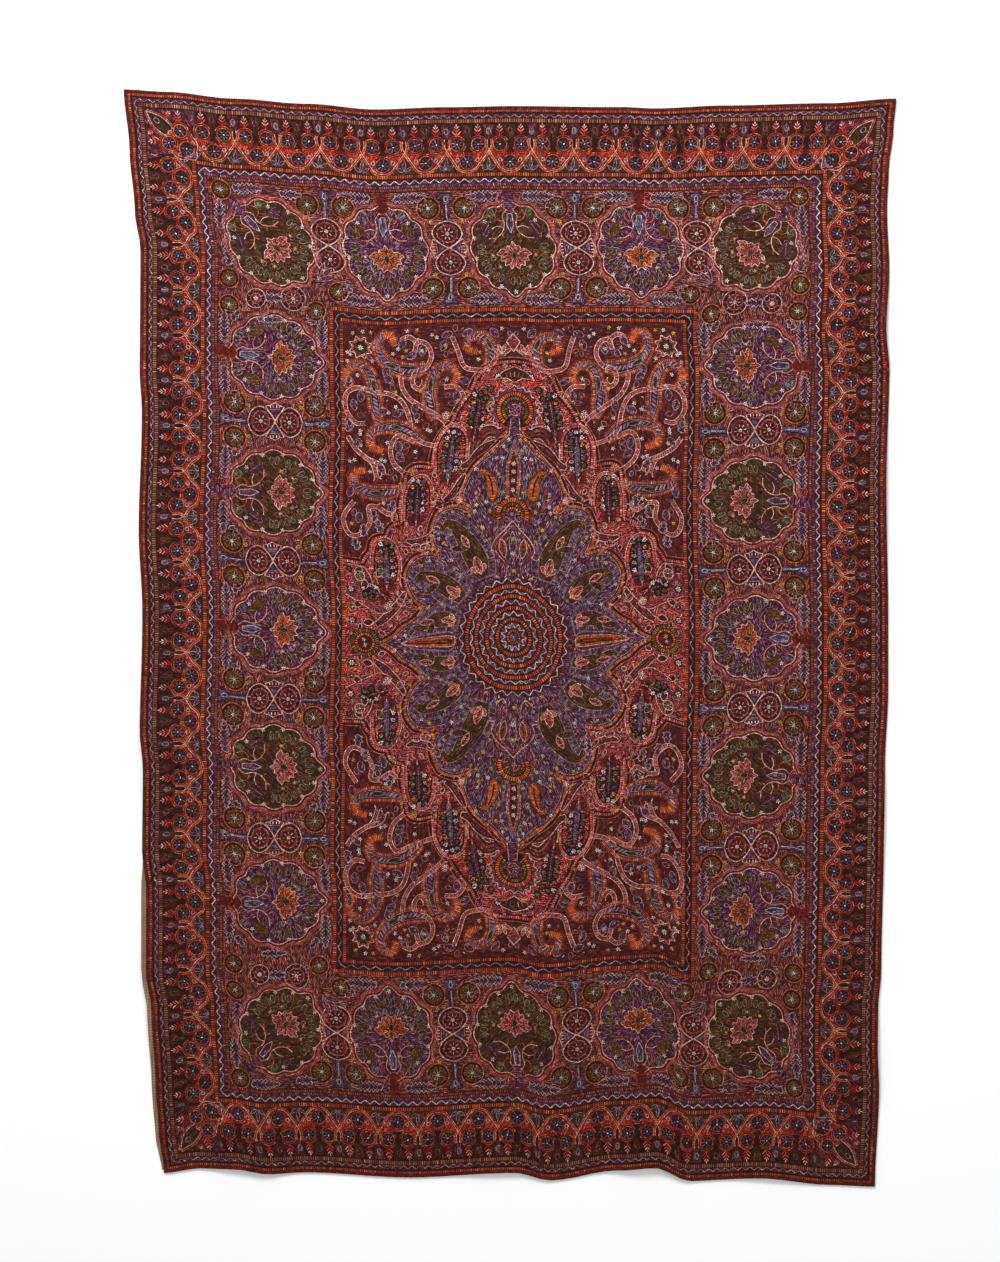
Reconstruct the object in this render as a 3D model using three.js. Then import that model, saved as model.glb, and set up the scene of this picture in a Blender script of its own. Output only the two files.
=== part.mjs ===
// A pateh: a wool cover embroidered from edge to edge, with a plain lining behind it.
// It lies face up on a surface. Millimetres, +Z up, +X across the cloth, +Y up the design.
// The origin is on the surface, under the middle of the cloth.
import * as THREE from "three";

// The cloth's mean width and height, its two layers and the clearance between them
const WIDTH = 1300;
const HEIGHT = 1870;
const FACE_THICKNESS = 2;
const LINING_THICKNESS = 1;
const CLEARANCE = 0.3;

// The hem band is level across its width, and the rest of each sheet is cut into even cells
const HEM_BAND = 24;
const COLUMNS = 30;
const ROWS = 42;

// The four corners are pulled out unevenly
const CORNERS = {
  topLeft: { x: -673, y: 956 },
  topRight: { x: 673, y: 940 },
  bottomLeft: { x: -603, y: -932 },
  bottomRight: { x: 636, y: -956 },
};

// Each edge wanders between its corners: the stations run upwards, or from left to right
const EDGES = {
  left: [
    { x: -612, y: -857 },
    { x: -617, y: -788 },
    { x: -624, y: -648 },
    { x: -634, y: -580 },
    { x: -634, y: -440 },
    { x: -641, y: -370 },
    { x: -639, y: -230 },
    { x: -645, y: -160 },
    { x: -640, y: 49 },
    { x: -647, y: 188 },
    { x: -641, y: 397 },
    { x: -645, y: 467 },
    { x: -644, y: 676 },
    { x: -654, y: 746 },
    { x: -663, y: 850 },
  ],
  right: [
    { x: 643, y: -788 },
    { x: 640, y: -718 },
    { x: 641, y: -648 },
    { x: 647, y: -580 },
    { x: 651, y: -370 },
    { x: 653, y: -230 },
    { x: 659, y: -90 },
    { x: 659, y: 49 },
    { x: 655, y: 258 },
    { x: 661, y: 467 },
    { x: 655, y: 537 },
    { x: 661, y: 641 },
    { x: 657, y: 746 },
    { x: 660, y: 816 },
    { x: 668, y: 885 },
  ],
  bottom: [
    { x: -540, y: -924 },
    { x: -479, y: -925 },
    { x: -418, y: -934 },
    { x: -357, y: -931 },
    { x: -174, y: -940 },
    { x: 9, y: -931 },
    { x: 70, y: -945 },
    { x: 192, y: -927 },
    { x: 253, y: -922 },
    { x: 314, y: -946 },
    { x: 436, y: -941 },
    { x: 558, y: -953 },
  ],
  top: [
    { x: -601, y: 952 },
    { x: -479, y: 940 },
    { x: -357, y: 931 },
    { x: -235, y: 920 },
    { x: -113, y: 925 },
    { x: 9, y: 927 },
    { x: 192, y: 925 },
    { x: 253, y: 922 },
    { x: 375, y: 928 },
    { x: 558, y: 932 },
  ],
};

// Low ripples lift the cloth where an edge is drawn in: place along it, width, rise and reach inwards
const RIPPLES = {
  left: [
    { at: -640, width: 300, rise: 6, reach: 210 },
    { at: -230, width: 250, rise: 7, reach: 190 },
    { at: 49, width: 260, rise: 6, reach: 230 },
    { at: 397, width: 240, rise: 5, reach: 180 },
  ],
  right: [
    { at: -700, width: 260, rise: 7, reach: 200 },
    { at: -300, width: 280, rise: 5, reach: 220 },
    { at: 258, width: 300, rise: 6, reach: 190 },
    { at: 537, width: 220, rise: 6, reach: 170 },
  ],
  bottom: [
    { at: -500, width: 200, rise: 7, reach: 180 },
    { at: -30, width: 240, rise: 6, reach: 160 },
    { at: 235, width: 210, rise: 10, reach: 230 },
    { at: 460, width: 190, rise: 5, reach: 150 },
  ],
  top: [
    { at: -235, width: 300, rise: 6, reach: 190 },
    { at: 253, width: 220, rise: 5, reach: 160 },
  ],
};

// The lining stops short of the hem, but low on the left it has slipped out past it
const LINING_INSET = 6;
const LINING_SLIP = [
  { y: -932, inset: -4 },
  { y: -857, inset: -7 },
  { y: -440, inset: -9 },
  { y: -370, inset: 2 },
  { y: -300, inset: LINING_INSET },
];

const FACE_COLOR = 0x653a33;
const LINING_COLOR = 0x82644f;
const WOOL_ROUGHNESS = 0.95;
const COTTON_ROUGHNESS = 0.9;

const mix = THREE.MathUtils.lerp;

// Reads one column of a table at a place along another, eased from row to row
function readTable(rows, alongKey, valueKey, place) {
  const next = rows.findIndex((row) => row[alongKey] >= place);
  if (next === 0) return rows[0][valueKey];
  if (next < 0) return rows[rows.length - 1][valueKey];
  const [low, high] = [rows[next - 1], rows[next]];
  const share = THREE.MathUtils.smoothstep(place, low[alongKey], high[alongKey]);
  return mix(low[valueKey], high[valueKey], share);
}

// A point of one edge, at a share of the way from its first corner to its last
function edgePoint(start, stations, end, alongKey, share) {
  const rows = [start, ...stations, end];
  const place = mix(start[alongKey], end[alongKey], share);
  const valueKey = alongKey === "x" ? "y" : "x";
  return { [alongKey]: place, [valueKey]: readTable(rows, alongKey, valueKey, place) };
}

// The plan of the cloth: a patch spanned between its four edges, with u and v from 0 to 1
function planPoint(u, v) {
  const left = edgePoint(CORNERS.bottomLeft, EDGES.left, CORNERS.topLeft, "y", v);
  const right = edgePoint(CORNERS.bottomRight, EDGES.right, CORNERS.topRight, "y", v);
  const bottom = edgePoint(CORNERS.bottomLeft, EDGES.bottom, CORNERS.bottomRight, "x", u);
  const top = edgePoint(CORNERS.topLeft, EDGES.top, CORNERS.topRight, "x", u);
  const span = (key) =>
    mix(left[key], right[key], u) +
    mix(bottom[key], top[key], v) -
    mix(
      mix(CORNERS.bottomLeft[key], CORNERS.bottomRight[key], u),
      mix(CORNERS.topLeft[key], CORNERS.topRight[key], u),
      v,
    );
  return { x: span("x"), y: span("y") };
}

// The ripples of one side, at a place along it and a depth in from it
function sideRise(ripples, along, depth) {
  let rise = 0;
  for (const ripple of ripples) {
    const phase = (along - ripple.at) / ripple.width;
    if (Math.abs(phase) >= 0.5) continue;
    const crest = Math.cos(Math.PI * phase) ** 2;
    rise += ripple.rise * crest * (1 - THREE.MathUtils.smoothstep(depth, 0, ripple.reach));
  }
  return rise;
}

// How far the underside stands above the surface
function riseAt(u, v) {
  const x = u * WIDTH;
  const y = v * HEIGHT;
  return (
    sideRise(RIPPLES.left, y - HEIGHT / 2, x) +
    sideRise(RIPPLES.right, y - HEIGHT / 2, WIDTH - x) +
    sideRise(RIPPLES.bottom, x - WIDTH / 2, y) +
    sideRise(RIPPLES.top, x - WIDTH / 2, HEIGHT - y)
  );
}

// Shares of the way across: the two hem bands, and even cells between them
function gridLines(cells, band) {
  const lines = [0];
  const inner = cells - 2;
  for (let i = 0; i <= inner; i += 1) lines.push(mix(band, 1 - band, i / inner));
  lines.push(1);
  return lines;
}

// A closed sheet over the grid, from a function that gives the plan point of a grid place
function sheet(place, base, thickness) {
  const bandU = HEM_BAND / WIDTH;
  const bandV = HEM_BAND / HEIGHT;
  const us = gridLines(COLUMNS, bandU);
  const vs = gridLines(ROWS, bandV);
  const clamp = THREE.MathUtils.clamp;
  const positions = [];
  for (const lift of [base, base + thickness]) {
    for (const v of vs) {
      for (const u of us) {
        const { x, y } = place(u, v);
        const rise = riseAt(clamp(u, bandU, 1 - bandU), clamp(v, bandV, 1 - bandV));
        positions.push(x, y, rise + lift);
      }
    }
  }
  const perLayer = us.length * vs.length;
  const under = (i, j) => j * us.length + i;
  const over = (i, j) => perLayer + under(i, j);
  const triangles = [];
  for (let j = 0; j < ROWS; j += 1) {
    for (let i = 0; i < COLUMNS; i += 1) {
      triangles.push(over(i, j), over(i + 1, j), over(i + 1, j + 1));
      triangles.push(over(i, j), over(i + 1, j + 1), over(i, j + 1));
      triangles.push(under(i, j), under(i + 1, j + 1), under(i + 1, j));
      triangles.push(under(i, j), under(i, j + 1), under(i + 1, j + 1));
    }
  }
  const rim = (i, j, nextI, nextJ) => {
    triangles.push(under(i, j), under(nextI, nextJ), over(nextI, nextJ));
    triangles.push(under(i, j), over(nextI, nextJ), over(i, j));
  };
  for (let i = 0; i < COLUMNS; i += 1) {
    rim(i, 0, i + 1, 0);
    rim(i + 1, ROWS, i, ROWS);
  }
  for (let j = 0; j < ROWS; j += 1) {
    rim(COLUMNS, j, COLUMNS, j + 1);
    rim(0, j + 1, 0, j);
  }
  const geometry = new THREE.BufferGeometry();
  geometry.setAttribute("position", new THREE.Float32BufferAttribute(positions, 3));
  geometry.setIndex(triangles);
  geometry.computeVertexNormals();
  return geometry;
}

// The lining follows the face cloth's grid, and only its outermost lines are moved
function liningPoint(u, v) {
  const point = planPoint(u, v);
  if (u === 0) point.x += readTable(LINING_SLIP, "y", "inset", point.y);
  if (u === 1) point.x -= LINING_INSET;
  if (v === 0) point.y += LINING_INSET;
  if (v === 1) point.y -= LINING_INSET;
  return point;
}

function clothMesh(name, geometry, color, roughness) {
  const material = new THREE.MeshStandardMaterial({ color, roughness, metalness: 0 });
  const mesh = new THREE.Mesh(geometry, material);
  mesh.name = name;
  return mesh;
}

const liningSheet = sheet(liningPoint, 0, LINING_THICKNESS);
const faceSheet = sheet(planPoint, LINING_THICKNESS + CLEARANCE, FACE_THICKNESS);

const group = new THREE.Group();
group.add(clothMesh("lining", liningSheet, LINING_COLOR, COTTON_ROUGHNESS));
group.add(clothMesh("face_cloth", faceSheet, FACE_COLOR, WOOL_ROUGHNESS));

export default group;
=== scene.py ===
import bpy
import math
from itertools import product

import numpy as np
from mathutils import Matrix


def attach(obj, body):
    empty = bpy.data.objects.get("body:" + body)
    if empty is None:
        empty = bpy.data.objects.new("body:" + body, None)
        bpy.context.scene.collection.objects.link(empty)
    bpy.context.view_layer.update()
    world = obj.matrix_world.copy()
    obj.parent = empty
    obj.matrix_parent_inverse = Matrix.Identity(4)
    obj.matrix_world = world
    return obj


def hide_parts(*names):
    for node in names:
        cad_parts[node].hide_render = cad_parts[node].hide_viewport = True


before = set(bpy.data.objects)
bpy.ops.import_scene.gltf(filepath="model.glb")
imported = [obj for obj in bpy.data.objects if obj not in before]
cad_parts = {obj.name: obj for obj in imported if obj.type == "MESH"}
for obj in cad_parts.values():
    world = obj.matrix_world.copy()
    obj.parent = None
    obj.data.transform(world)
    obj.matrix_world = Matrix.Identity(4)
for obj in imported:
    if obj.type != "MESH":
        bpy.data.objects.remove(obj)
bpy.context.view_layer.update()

# The flat design is worked out in millimetres from the middle of the cloth, +X right and +Y up.
# The cloth's shape repeats the driving dimensions of the part's source.
MM = 0.001
SEED = 1907
rng = np.random.default_rng(SEED)

WIDTH = 1300
HEIGHT = 1870
FACE_THICKNESS = 2
LINING_THICKNESS = 1
CLEARANCE = 0.3
HEM_BAND = 24

CORNERS = {
    "top_left": (-673, 956),
    "top_right": (673, 940),
    "bottom_left": (-603, -932),
    "bottom_right": (636, -956),
}

# These stations are not chosen by hand: a scratch script measured them off the photo's silhouette
EDGES = {
    "left": [
        (-612, -857), (-617, -788), (-624, -648), (-634, -580), (-634, -440), (-641, -370),
        (-639, -230), (-645, -160), (-640, 49), (-647, 188), (-641, 397), (-645, 467),
        (-644, 676), (-654, 746), (-663, 850),
    ],
    "right": [
        (643, -788), (640, -718), (641, -648), (647, -580), (651, -370), (653, -230),
        (659, -90), (659, 49), (655, 258), (661, 467), (655, 537), (661, 641), (657, 746),
        (660, 816), (668, 885),
    ],
    "bottom": [
        (-540, -924), (-479, -925), (-418, -934), (-357, -931), (-174, -940), (9, -931),
        (70, -945), (192, -927), (253, -922), (314, -946), (436, -941), (558, -953),
    ],
    "top": [
        (-601, 952), (-479, 940), (-357, 931), (-235, 920), (-113, 925), (9, 927),
        (192, 925), (253, 922), (375, 928), (558, 932),
    ],
}

# Each ripple: its place along the edge, its width, rise and reach inwards
RIPPLES = {
    "left": [(-640, 300, 6, 210), (-230, 250, 7, 190), (49, 260, 6, 230), (397, 240, 5, 180)],
    "right": [(-700, 260, 7, 200), (-300, 280, 5, 220), (258, 300, 6, 190), (537, 220, 6, 170)],
    "bottom": [(-500, 200, 7, 180), (-30, 240, 6, 160), (235, 210, 10, 230), (460, 190, 5, 150)],
    "top": [(-235, 300, 6, 190), (253, 220, 5, 160)],
}

LINING_INSET = 6
# How far in the lining's left edge stands, by height: low down it reaches out past the face cloth
LINING_LEFT_REACH = [(-932, -4), (-857, -7), (-440, -9), (-370, 2), (-300, LINING_INSET)]


def ease(share):
    return share * share * (3 - 2 * share)


def read_table(rows, along, value, places):
    """Reads one column of a table at places along another, eased from row to row."""
    stations = np.array([row[along] for row in rows], float)
    values = np.array([row[value] for row in rows], float)
    places = np.clip(places, stations[0], stations[-1])
    high = np.clip(np.searchsorted(stations, places), 1, len(rows) - 1)
    low = high - 1
    share = ease((places - stations[low]) / (stations[high] - stations[low]))
    return values[low] + (values[high] - values[low]) * share


def mix(low, high, share):
    return low + (high - low) * share


def plan_point(u, v):
    """The cloth's outline and inside in plan, for shares across and up from 0 to 1."""

    def edge(start, name, end, along, share):
        rows = [CORNERS[start], *EDGES[name], CORNERS[end]]
        place = mix(rows[0][along], rows[-1][along], share)
        read = read_table(rows, along, 1 - along, place)
        return (read, place) if along else (place, read)

    left = edge("bottom_left", "left", "top_left", 1, v)
    right = edge("bottom_right", "right", "top_right", 1, v)
    bottom = edge("bottom_left", "bottom", "bottom_right", 0, u)
    top = edge("top_left", "top", "top_right", 0, u)

    def span(key):
        low = mix(CORNERS["bottom_left"][key], CORNERS["bottom_right"][key], u)
        high = mix(CORNERS["top_left"][key], CORNERS["top_right"][key], u)
        return mix(left[key], right[key], u) + mix(bottom[key], top[key], v) - mix(low, high, v)

    return span(0), span(1)


def side_rise(ripples, along, depth):
    rise = np.zeros(np.shape(along))
    for at, width, height, reach in ripples:
        phase = (along - at) / width
        crest = np.where(np.abs(phase) < 0.5, np.cos(math.pi * phase) ** 2, 0)
        fade = 1 - ease(np.clip(depth / reach, 0, 1))
        rise = rise + height * crest * fade
    return rise


def rise_at(u, v):
    """How far the underside stands above the surface."""
    u = np.clip(u, HEM_BAND / WIDTH, 1 - HEM_BAND / WIDTH)
    v = np.clip(v, HEM_BAND / HEIGHT, 1 - HEM_BAND / HEIGHT)
    x, y = u * WIDTH, v * HEIGHT
    return (
        side_rise(RIPPLES["left"], y - HEIGHT / 2, x)
        + side_rise(RIPPLES["right"], y - HEIGHT / 2, WIDTH - x)
        + side_rise(RIPPLES["bottom"], x - WIDTH / 2, y)
        + side_rise(RIPPLES["top"], x - WIDTH / 2, HEIGHT - y)
    )


def on_cloth(x, y):
    """Takes flat design places to the lying cloth: plan x and y, and the underside's height."""
    u, v = x / WIDTH + 0.5, y / HEIGHT + 0.5
    plan_x, plan_y = plan_point(u, v)
    return plan_x, plan_y, rise_at(u, v)


# Each wool is a handful of dyed threads, as sRGB out of 255 and how often each is used
WOOLS = {
    "hem red": [(112, 36, 28, 3), (88, 28, 24, 2), (128, 48, 36, 1)],
    "field ground": [(92, 34, 32, 4), (68, 27, 27, 3), (114, 50, 43, 2)],
    "maroon": [(84, 30, 28, 4), (62, 24, 22, 3), (112, 42, 36, 2)],
    "dark": [(46, 26, 22, 3), (60, 32, 26, 2), (36, 20, 18, 2)],
    "brown": [(82, 46, 30, 3), (62, 34, 24, 3), (104, 62, 40, 2)],
    "dark olive": [(66, 48, 24, 4), (48, 34, 20, 3), (88, 64, 34, 2), (78, 40, 26, 1)],
    "bronze": [(74, 52, 29, 4), (52, 37, 22, 3), (100, 74, 45, 2), (84, 46, 32, 1)],
    "umber": [(98, 72, 38, 3), (78, 56, 30, 3), (122, 92, 52, 2), (96, 52, 34, 1)],
    "olive": [(124, 94, 44, 3), (98, 72, 36, 3), (146, 112, 58, 2)],
    "plum": [(84, 40, 48, 3), (60, 30, 34, 2), (110, 62, 70, 2)],
    "purple": [(102, 50, 90, 4), (128, 96, 122, 3), (60, 31, 52, 3), (154, 130, 142, 1),
               (124, 52, 68, 2), (116, 100, 86, 1)],
    "violet": [(96, 54, 88, 4), (140, 110, 128, 3), (62, 35, 48, 3), (90, 86, 126, 2),
               (146, 66, 58, 3), (168, 142, 146, 1)],
    "lilac": [(152, 124, 138, 3), (174, 148, 156, 2), (124, 96, 114, 2)],
    "pale lilac": [(188, 166, 170, 3), (208, 190, 190, 2)],
    "orange": [(206, 96, 46, 4), (178, 74, 38, 2), (220, 120, 66, 2)],
    "fire": [(184, 82, 48, 4), (156, 60, 40, 3), (200, 108, 68, 2)],
    "red orange": [(190, 56, 32, 4), (162, 40, 28, 3), (210, 84, 46, 2)],
    "red": [(166, 38, 36, 3), (128, 30, 32, 3), (188, 62, 48, 2), (210, 120, 104, 1)],
    "rose": [(150, 62, 66, 3), (124, 46, 54, 3), (176, 92, 90, 2)],
    "rust": [(170, 76, 42, 4), (142, 58, 36, 3), (194, 106, 66, 2)],
    "tan": [(132, 90, 64, 3), (150, 108, 82, 2), (116, 66, 46, 2)],
    "amber": [(184, 92, 50, 3), (152, 76, 44, 3), (204, 118, 74, 2)],
    "violet sheen": [(106, 72, 98, 3), (132, 106, 124, 3), (88, 84, 114, 2), (72, 42, 60, 2)],
    "purple sheen": [(114, 70, 94, 3), (92, 52, 76, 3), (140, 110, 126, 2), (74, 42, 56, 2)],
    "brown orange": [(146, 78, 44, 3), (120, 58, 36, 3), (164, 92, 54, 2)],
    "salmon": [(178, 98, 82, 4), (152, 76, 66, 3), (204, 130, 112, 2)],
    "halo": [(174, 106, 86, 3), (148, 82, 70, 2), (148, 104, 112, 2)],
    "border ground": [(148, 76, 58, 4), (126, 86, 98, 2), (84, 37, 34, 4), (172, 94, 66, 2),
                      (102, 66, 90, 2), (182, 116, 92, 1)],
    "red ground": [(186, 76, 68, 4), (134, 50, 50, 3), (208, 124, 116, 2), (158, 84, 94, 2),
                   (214, 92, 64, 2)],
    "warm ground": [(214, 82, 58, 4), (172, 58, 52, 3), (222, 122, 104, 2), (180, 84, 86, 2),
                    (228, 160, 144, 1)],
    "rose ground": [(162, 72, 74, 4), (122, 46, 50, 3), (186, 112, 110, 2), (142, 82, 94, 2),
                    (190, 84, 60, 2)],
    "coral": [(206, 96, 84, 3), (184, 72, 68, 2), (220, 130, 116, 2)],
    "pink": [(220, 166, 150, 3), (200, 138, 122, 2), (234, 192, 176, 1)],
    "blue": [(86, 88, 122, 3), (122, 124, 146, 2), (62, 56, 84, 2)],
    "white": [(232, 226, 212, 3), (212, 204, 196, 2)],
    "yellow": [(212, 172, 80, 3), (186, 144, 60, 2)],
    "green": [(78, 102, 72, 3), (102, 126, 88, 2), (58, 74, 54, 2)],
    "grey green": [(130, 120, 98, 3), (154, 144, 118, 2), (104, 94, 78, 2)],
}
WOOL_NAMES = list(WOOLS)
WOOL_GAIN = 0.98
SHADE_SPREAD = 0.27
# The wools are tinted from the lower end to the upper one: darker and warmer low down, paler high
# up. The wools are tinted from the lower end to the upper one, as the photo's light or its cloth
# fades
LOWER_TINT = (0.76, 0.64, 0.59, 1)
UPPER_TINT = (1.15, 1.11, 1.18, 1)

# The fill is worked in rows, and each row is cut into stitches where the wool changes
ROW_PITCH = 2.6
FILL_LENGTH = 7.0
FILL_WIDTH = 2.5
FILL_RISE = 0.8
SHORTEST_FILL = 1.6
CORD_LENGTH = 5.0
CORD_WIDTH = 2.2
CORD_RISE = 1.3
HEADINGS = 8
# A ladder's path is marked at this step, and its rungs cover this share of their pitch
RUNG_STEP = 0.8
RUNG_COVER = 0.88
LINE_STEP = 0.7

# Some wools are sown as loose short stitches instead of rows, on the bare cloth
SOWN = ("violet", "purple", "border ground", "red ground", "warm ground", "rose ground")
SOWN_PITCH = 3.55
SOWN_LENGTH = 6.4
SOWN_WIDTH = 2.1
SWIRL = 99

# The canvas holds the wool and the heading of the rows for each square millimetre
BARE = 0
TAKEN = 255
canvas = np.zeros((HEIGHT, WIDTH), np.uint8)
rows_heading = np.zeros((HEIGHT, WIDTH), np.uint8)
laid = []


class Spot:
    """A place on the design, with its own turn, size and mirror."""

    def __init__(self, matrix=((1, 0), (0, 1)), origin=(0, 0)):
        self.matrix = np.array(matrix, float)
        self.origin = np.array(origin, float)

    def at(self, x, y, turn=0, size=1, flip=False):
        angle = math.radians(turn)
        cos, sin = math.cos(angle) * size, math.sin(angle) * size
        side = -1 if flip else 1
        local = np.array([[cos * side, -sin], [sin * side, cos]])
        return Spot(self.matrix @ local, self.map([(x, y)])[0])

    def map(self, points):
        return np.asarray(points, float) @ self.matrix.T + self.origin

    def heading(self, degrees):
        angle = math.radians(degrees)
        x, y = self.matrix @ (math.cos(angle), math.sin(angle))
        return math.degrees(math.atan2(y, x))


def cell_of(points):
    columns = np.clip(np.floor(points[:, 0] + WIDTH / 2).astype(int), 0, WIDTH - 1)
    rows = np.clip(np.floor(points[:, 1] + HEIGHT / 2).astype(int), 0, HEIGHT - 1)
    return rows, columns


CLOTH = Spot()


def take(points):
    """Marks places on the canvas as covered by a laid stitch."""
    rows, columns = cell_of(points)
    canvas[rows, columns] = TAKEN


def unit_ways(degrees):
    """Unit vectors for headings."""
    angles = np.radians(degrees)
    return np.stack([np.cos(angles), np.sin(angles)], axis=1)


def path_ways(path):
    """Unit vectors along a path, and to its left."""
    ways = np.gradient(path, axis=0)
    ways /= np.maximum(np.hypot(*ways.T), 1e-9)[:, None]
    return ways, np.stack([-ways[:, 1], ways[:, 0]], axis=1)


def mapped(spot, path, closed):
    points = spot.map(path)
    return np.vstack([points, points[:1]]) if closed else points


def stitch_table(places, ways, width, rise, wool):
    """A row for each stitch: its middle, half its run, its width, its rise and its wool."""
    values = np.empty((len(places), 7))
    values[:, 0:2], values[:, 2:4] = places, ways
    values[:, 4], values[:, 5], values[:, 6] = width, rise, wool
    return values


def fill(spot, outline, wool, grain=0):
    """Fills a closed outline with rows of stitches that run along the grain."""
    points = spot.map(outline)
    low = np.floor(points.min(axis=0) + (WIDTH / 2, HEIGHT / 2)).astype(int)
    high = np.ceil(points.max(axis=0) + (WIDTH / 2, HEIGHT / 2)).astype(int)
    x0, y0 = max(low[0], 0), max(low[1], 0)
    x1, y1 = min(high[0], WIDTH), min(high[1], HEIGHT)
    if x1 <= x0 or y1 <= y0:
        return
    across = np.arange(x0, x1) + 0.5 - WIDTH / 2
    up = (np.arange(y0, y1) + 0.5 - HEIGHT / 2)[:, None]
    inside = np.zeros((y1 - y0, x1 - x0), bool)
    for (ax, ay), (bx, by) in zip(points, np.roll(points, -1, axis=0)):
        if ay == by:
            continue
        spans = (ay > up) != (by > up)
        crossing = ax + (up - ay) * (bx - ax) / (by - ay)
        inside ^= spans & (across < crossing)
    heading = SWIRL
    if grain == "radial":
        angles = np.degrees(np.arctan2(up - spot.origin[1], across - spot.origin[0]))
        heading = (np.round(angles / (180 / HEADINGS)).astype(int) % HEADINGS)[inside]
    elif grain is not None:
        heading = round(spot.heading(grain) / (180 / HEADINGS)) % HEADINGS
    canvas[y0:y1, x0:x1][inside] = WOOL_NAMES.index(wool) + 1
    rows_heading[y0:y1, x0:x1][inside] = heading


def stitches(spot, centres, degrees, lengths, wool, width=CORD_WIDTH, rise=CORD_RISE):
    """Lays single stitches by their centres, headings and lengths."""
    centres = np.atleast_2d(np.asarray(centres, float))
    count = len(centres)
    half = np.broadcast_to(np.asarray(lengths, float), count) / 2
    ways = unit_ways(np.broadcast_to(np.asarray(degrees, float), count)) * half[:, None]
    ways = ways @ spot.matrix.T
    places = spot.map(centres)
    size = math.sqrt(abs(np.linalg.det(spot.matrix)))
    for share in (-0.8, -0.4, 0, 0.4, 0.8):
        take(places + ways * share)
    laid.append(stitch_table(places, ways, width * size, rise, WOOL_NAMES.index(wool)))


def spaced(points, step):
    """Resamples a path at an even step."""
    gaps = np.hypot(*np.diff(points, axis=0).T)
    run = np.concatenate([[0], np.cumsum(gaps)])
    count = max(1, round(run[-1] / step))
    places = np.linspace(0, run[-1], count + 1)
    return np.stack([np.interp(places, run, points[:, k]) for k in (0, 1)], axis=1)


def lay_line(ends, wool, width, rise):
    """Lays one stitch between each two ends, and takes the canvas under them."""
    marks = spaced(ends, LINE_STEP)
    reach = (width - 1) / 2
    for dx in (-reach, 0, reach):
        for dy in (-reach, 0, reach):
            take(marks + (dx, dy))
    middles, ways = (ends[1:] + ends[:-1]) / 2, (ends[1:] - ends[:-1]) / 2
    laid.append(stitch_table(middles, ways, width, rise, WOOL_NAMES.index(wool)))


def cord(spot, path, wool, closed=False, width=CORD_WIDTH, length=CORD_LENGTH, rise=CORD_RISE):
    """Lays a line of even stitches along a curve."""
    lay_line(spaced(mapped(spot, path, closed), length), wool, width, rise)


def strokes(spot, path, wool, closed=False, width=CORD_WIDTH, longest=8, rise=CORD_RISE):
    """Lays stitches along each straight run of a path, so that its corners stay sharp."""
    points = mapped(spot, path, closed)
    ends = [points[:1]]
    for start, end in zip(points, points[1:]):
        count = max(1, math.ceil(np.hypot(*(end - start)) / longest))
        ends.append(start + (end - start) * np.arange(1, count + 1)[:, None] / count)
    lay_line(np.vstack(ends), wool, width, rise)


def rungs(spot, path, wide, wools, closed=False, pitch=3.5, rise=1.4, slant=0):
    """Lays a ladder of rungs across a path, square or slanted, in one wool or several in turn."""
    marks = spaced(mapped(spot, path, closed), RUNG_STEP)
    ways, sideways = path_ways(marks)
    for offset in np.arange(-wide / 2, wide / 2 + 0.1, RUNG_STEP):
        take(marks + sideways * offset)
    chosen = np.arange(0, len(marks), max(1, round(pitch / RUNG_STEP)))
    leaning = (sideways[chosen] + ways[chosen] * slant) * wide / 2
    wools = [wools] if isinstance(wools, str) else wools
    codes = [WOOL_NAMES.index(wools[k % len(wools)]) for k in range(len(chosen))]
    laid.append(stitch_table(marks[chosen], leaning, pitch * RUNG_COVER, rise, codes))


def edged(spot, outline, wool, grain, rim, width=CORD_WIDTH, line=strokes):
    """Fills an outline and lays its rim."""
    fill(spot, outline, wool, grain)
    line(spot, outline, rim, closed=True, width=width)


def circle(radius, tall=None, middle=(0, 0), sides=None):
    tall = tall or radius
    sides = sides or max(10, int(max(radius, tall) * 1.2))
    angles = np.arange(sides) * 2 * math.pi / sides
    return np.stack(
        [middle[0] + radius * np.cos(angles), middle[1] + tall * np.sin(angles)], axis=1
    )


def lobed(width, height, lobes, depth, steps=7):
    """A round outline of even lobes that meet in notches."""
    angles = np.arange(lobes * steps) * 2 * math.pi / (lobes * steps)
    swell = 1 - depth + depth * np.abs(np.cos(lobes * (angles + math.pi / 2) / 2))
    return np.stack([width * swell * np.cos(angles), height * swell * np.sin(angles)], axis=1)


def arcs(nodes, step=4):
    """Joins nodes by arcs: a node is x, y and the bulge to the left of the arc that ends there."""
    path = [nodes[0][:2]]
    for (ax, ay, *_), (bx, by, *bulge) in zip(nodes, nodes[1:]):
        length = math.hypot(bx - ax, by - ay)
        count = max(2, round(length / step))
        bow = bulge[0] if bulge else 0
        for k in range(1, count + 1):
            share = k / count
            lift = bow * math.sin(math.pi * share) / max(length, 1e-9)
            path.append(
                (mix(ax, bx, share) - (by - ay) * lift, mix(ay, by, share) + (bx - ax) * lift)
            )
    return np.array(path)


def smooth(points, steps=6):
    """A soft curve through given points."""
    points = np.asarray(points, float)
    padded = np.vstack([2 * points[0] - points[1], points, 2 * points[-1] - points[-2]])
    shares = np.arange(steps)[:, None] / steps
    path = []
    for a, b, c, d in zip(padded, padded[1:], padded[2:], padded[3:]):
        path.append(
            0.5
            * (
                2 * b
                + (c - a) * shares
                + (2 * a - 5 * b + 4 * c - d) * shares**2
                + (3 * b - a - 3 * c + d) * shares**3
            )
        )
    return np.vstack([*path, points[-1:]])


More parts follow.
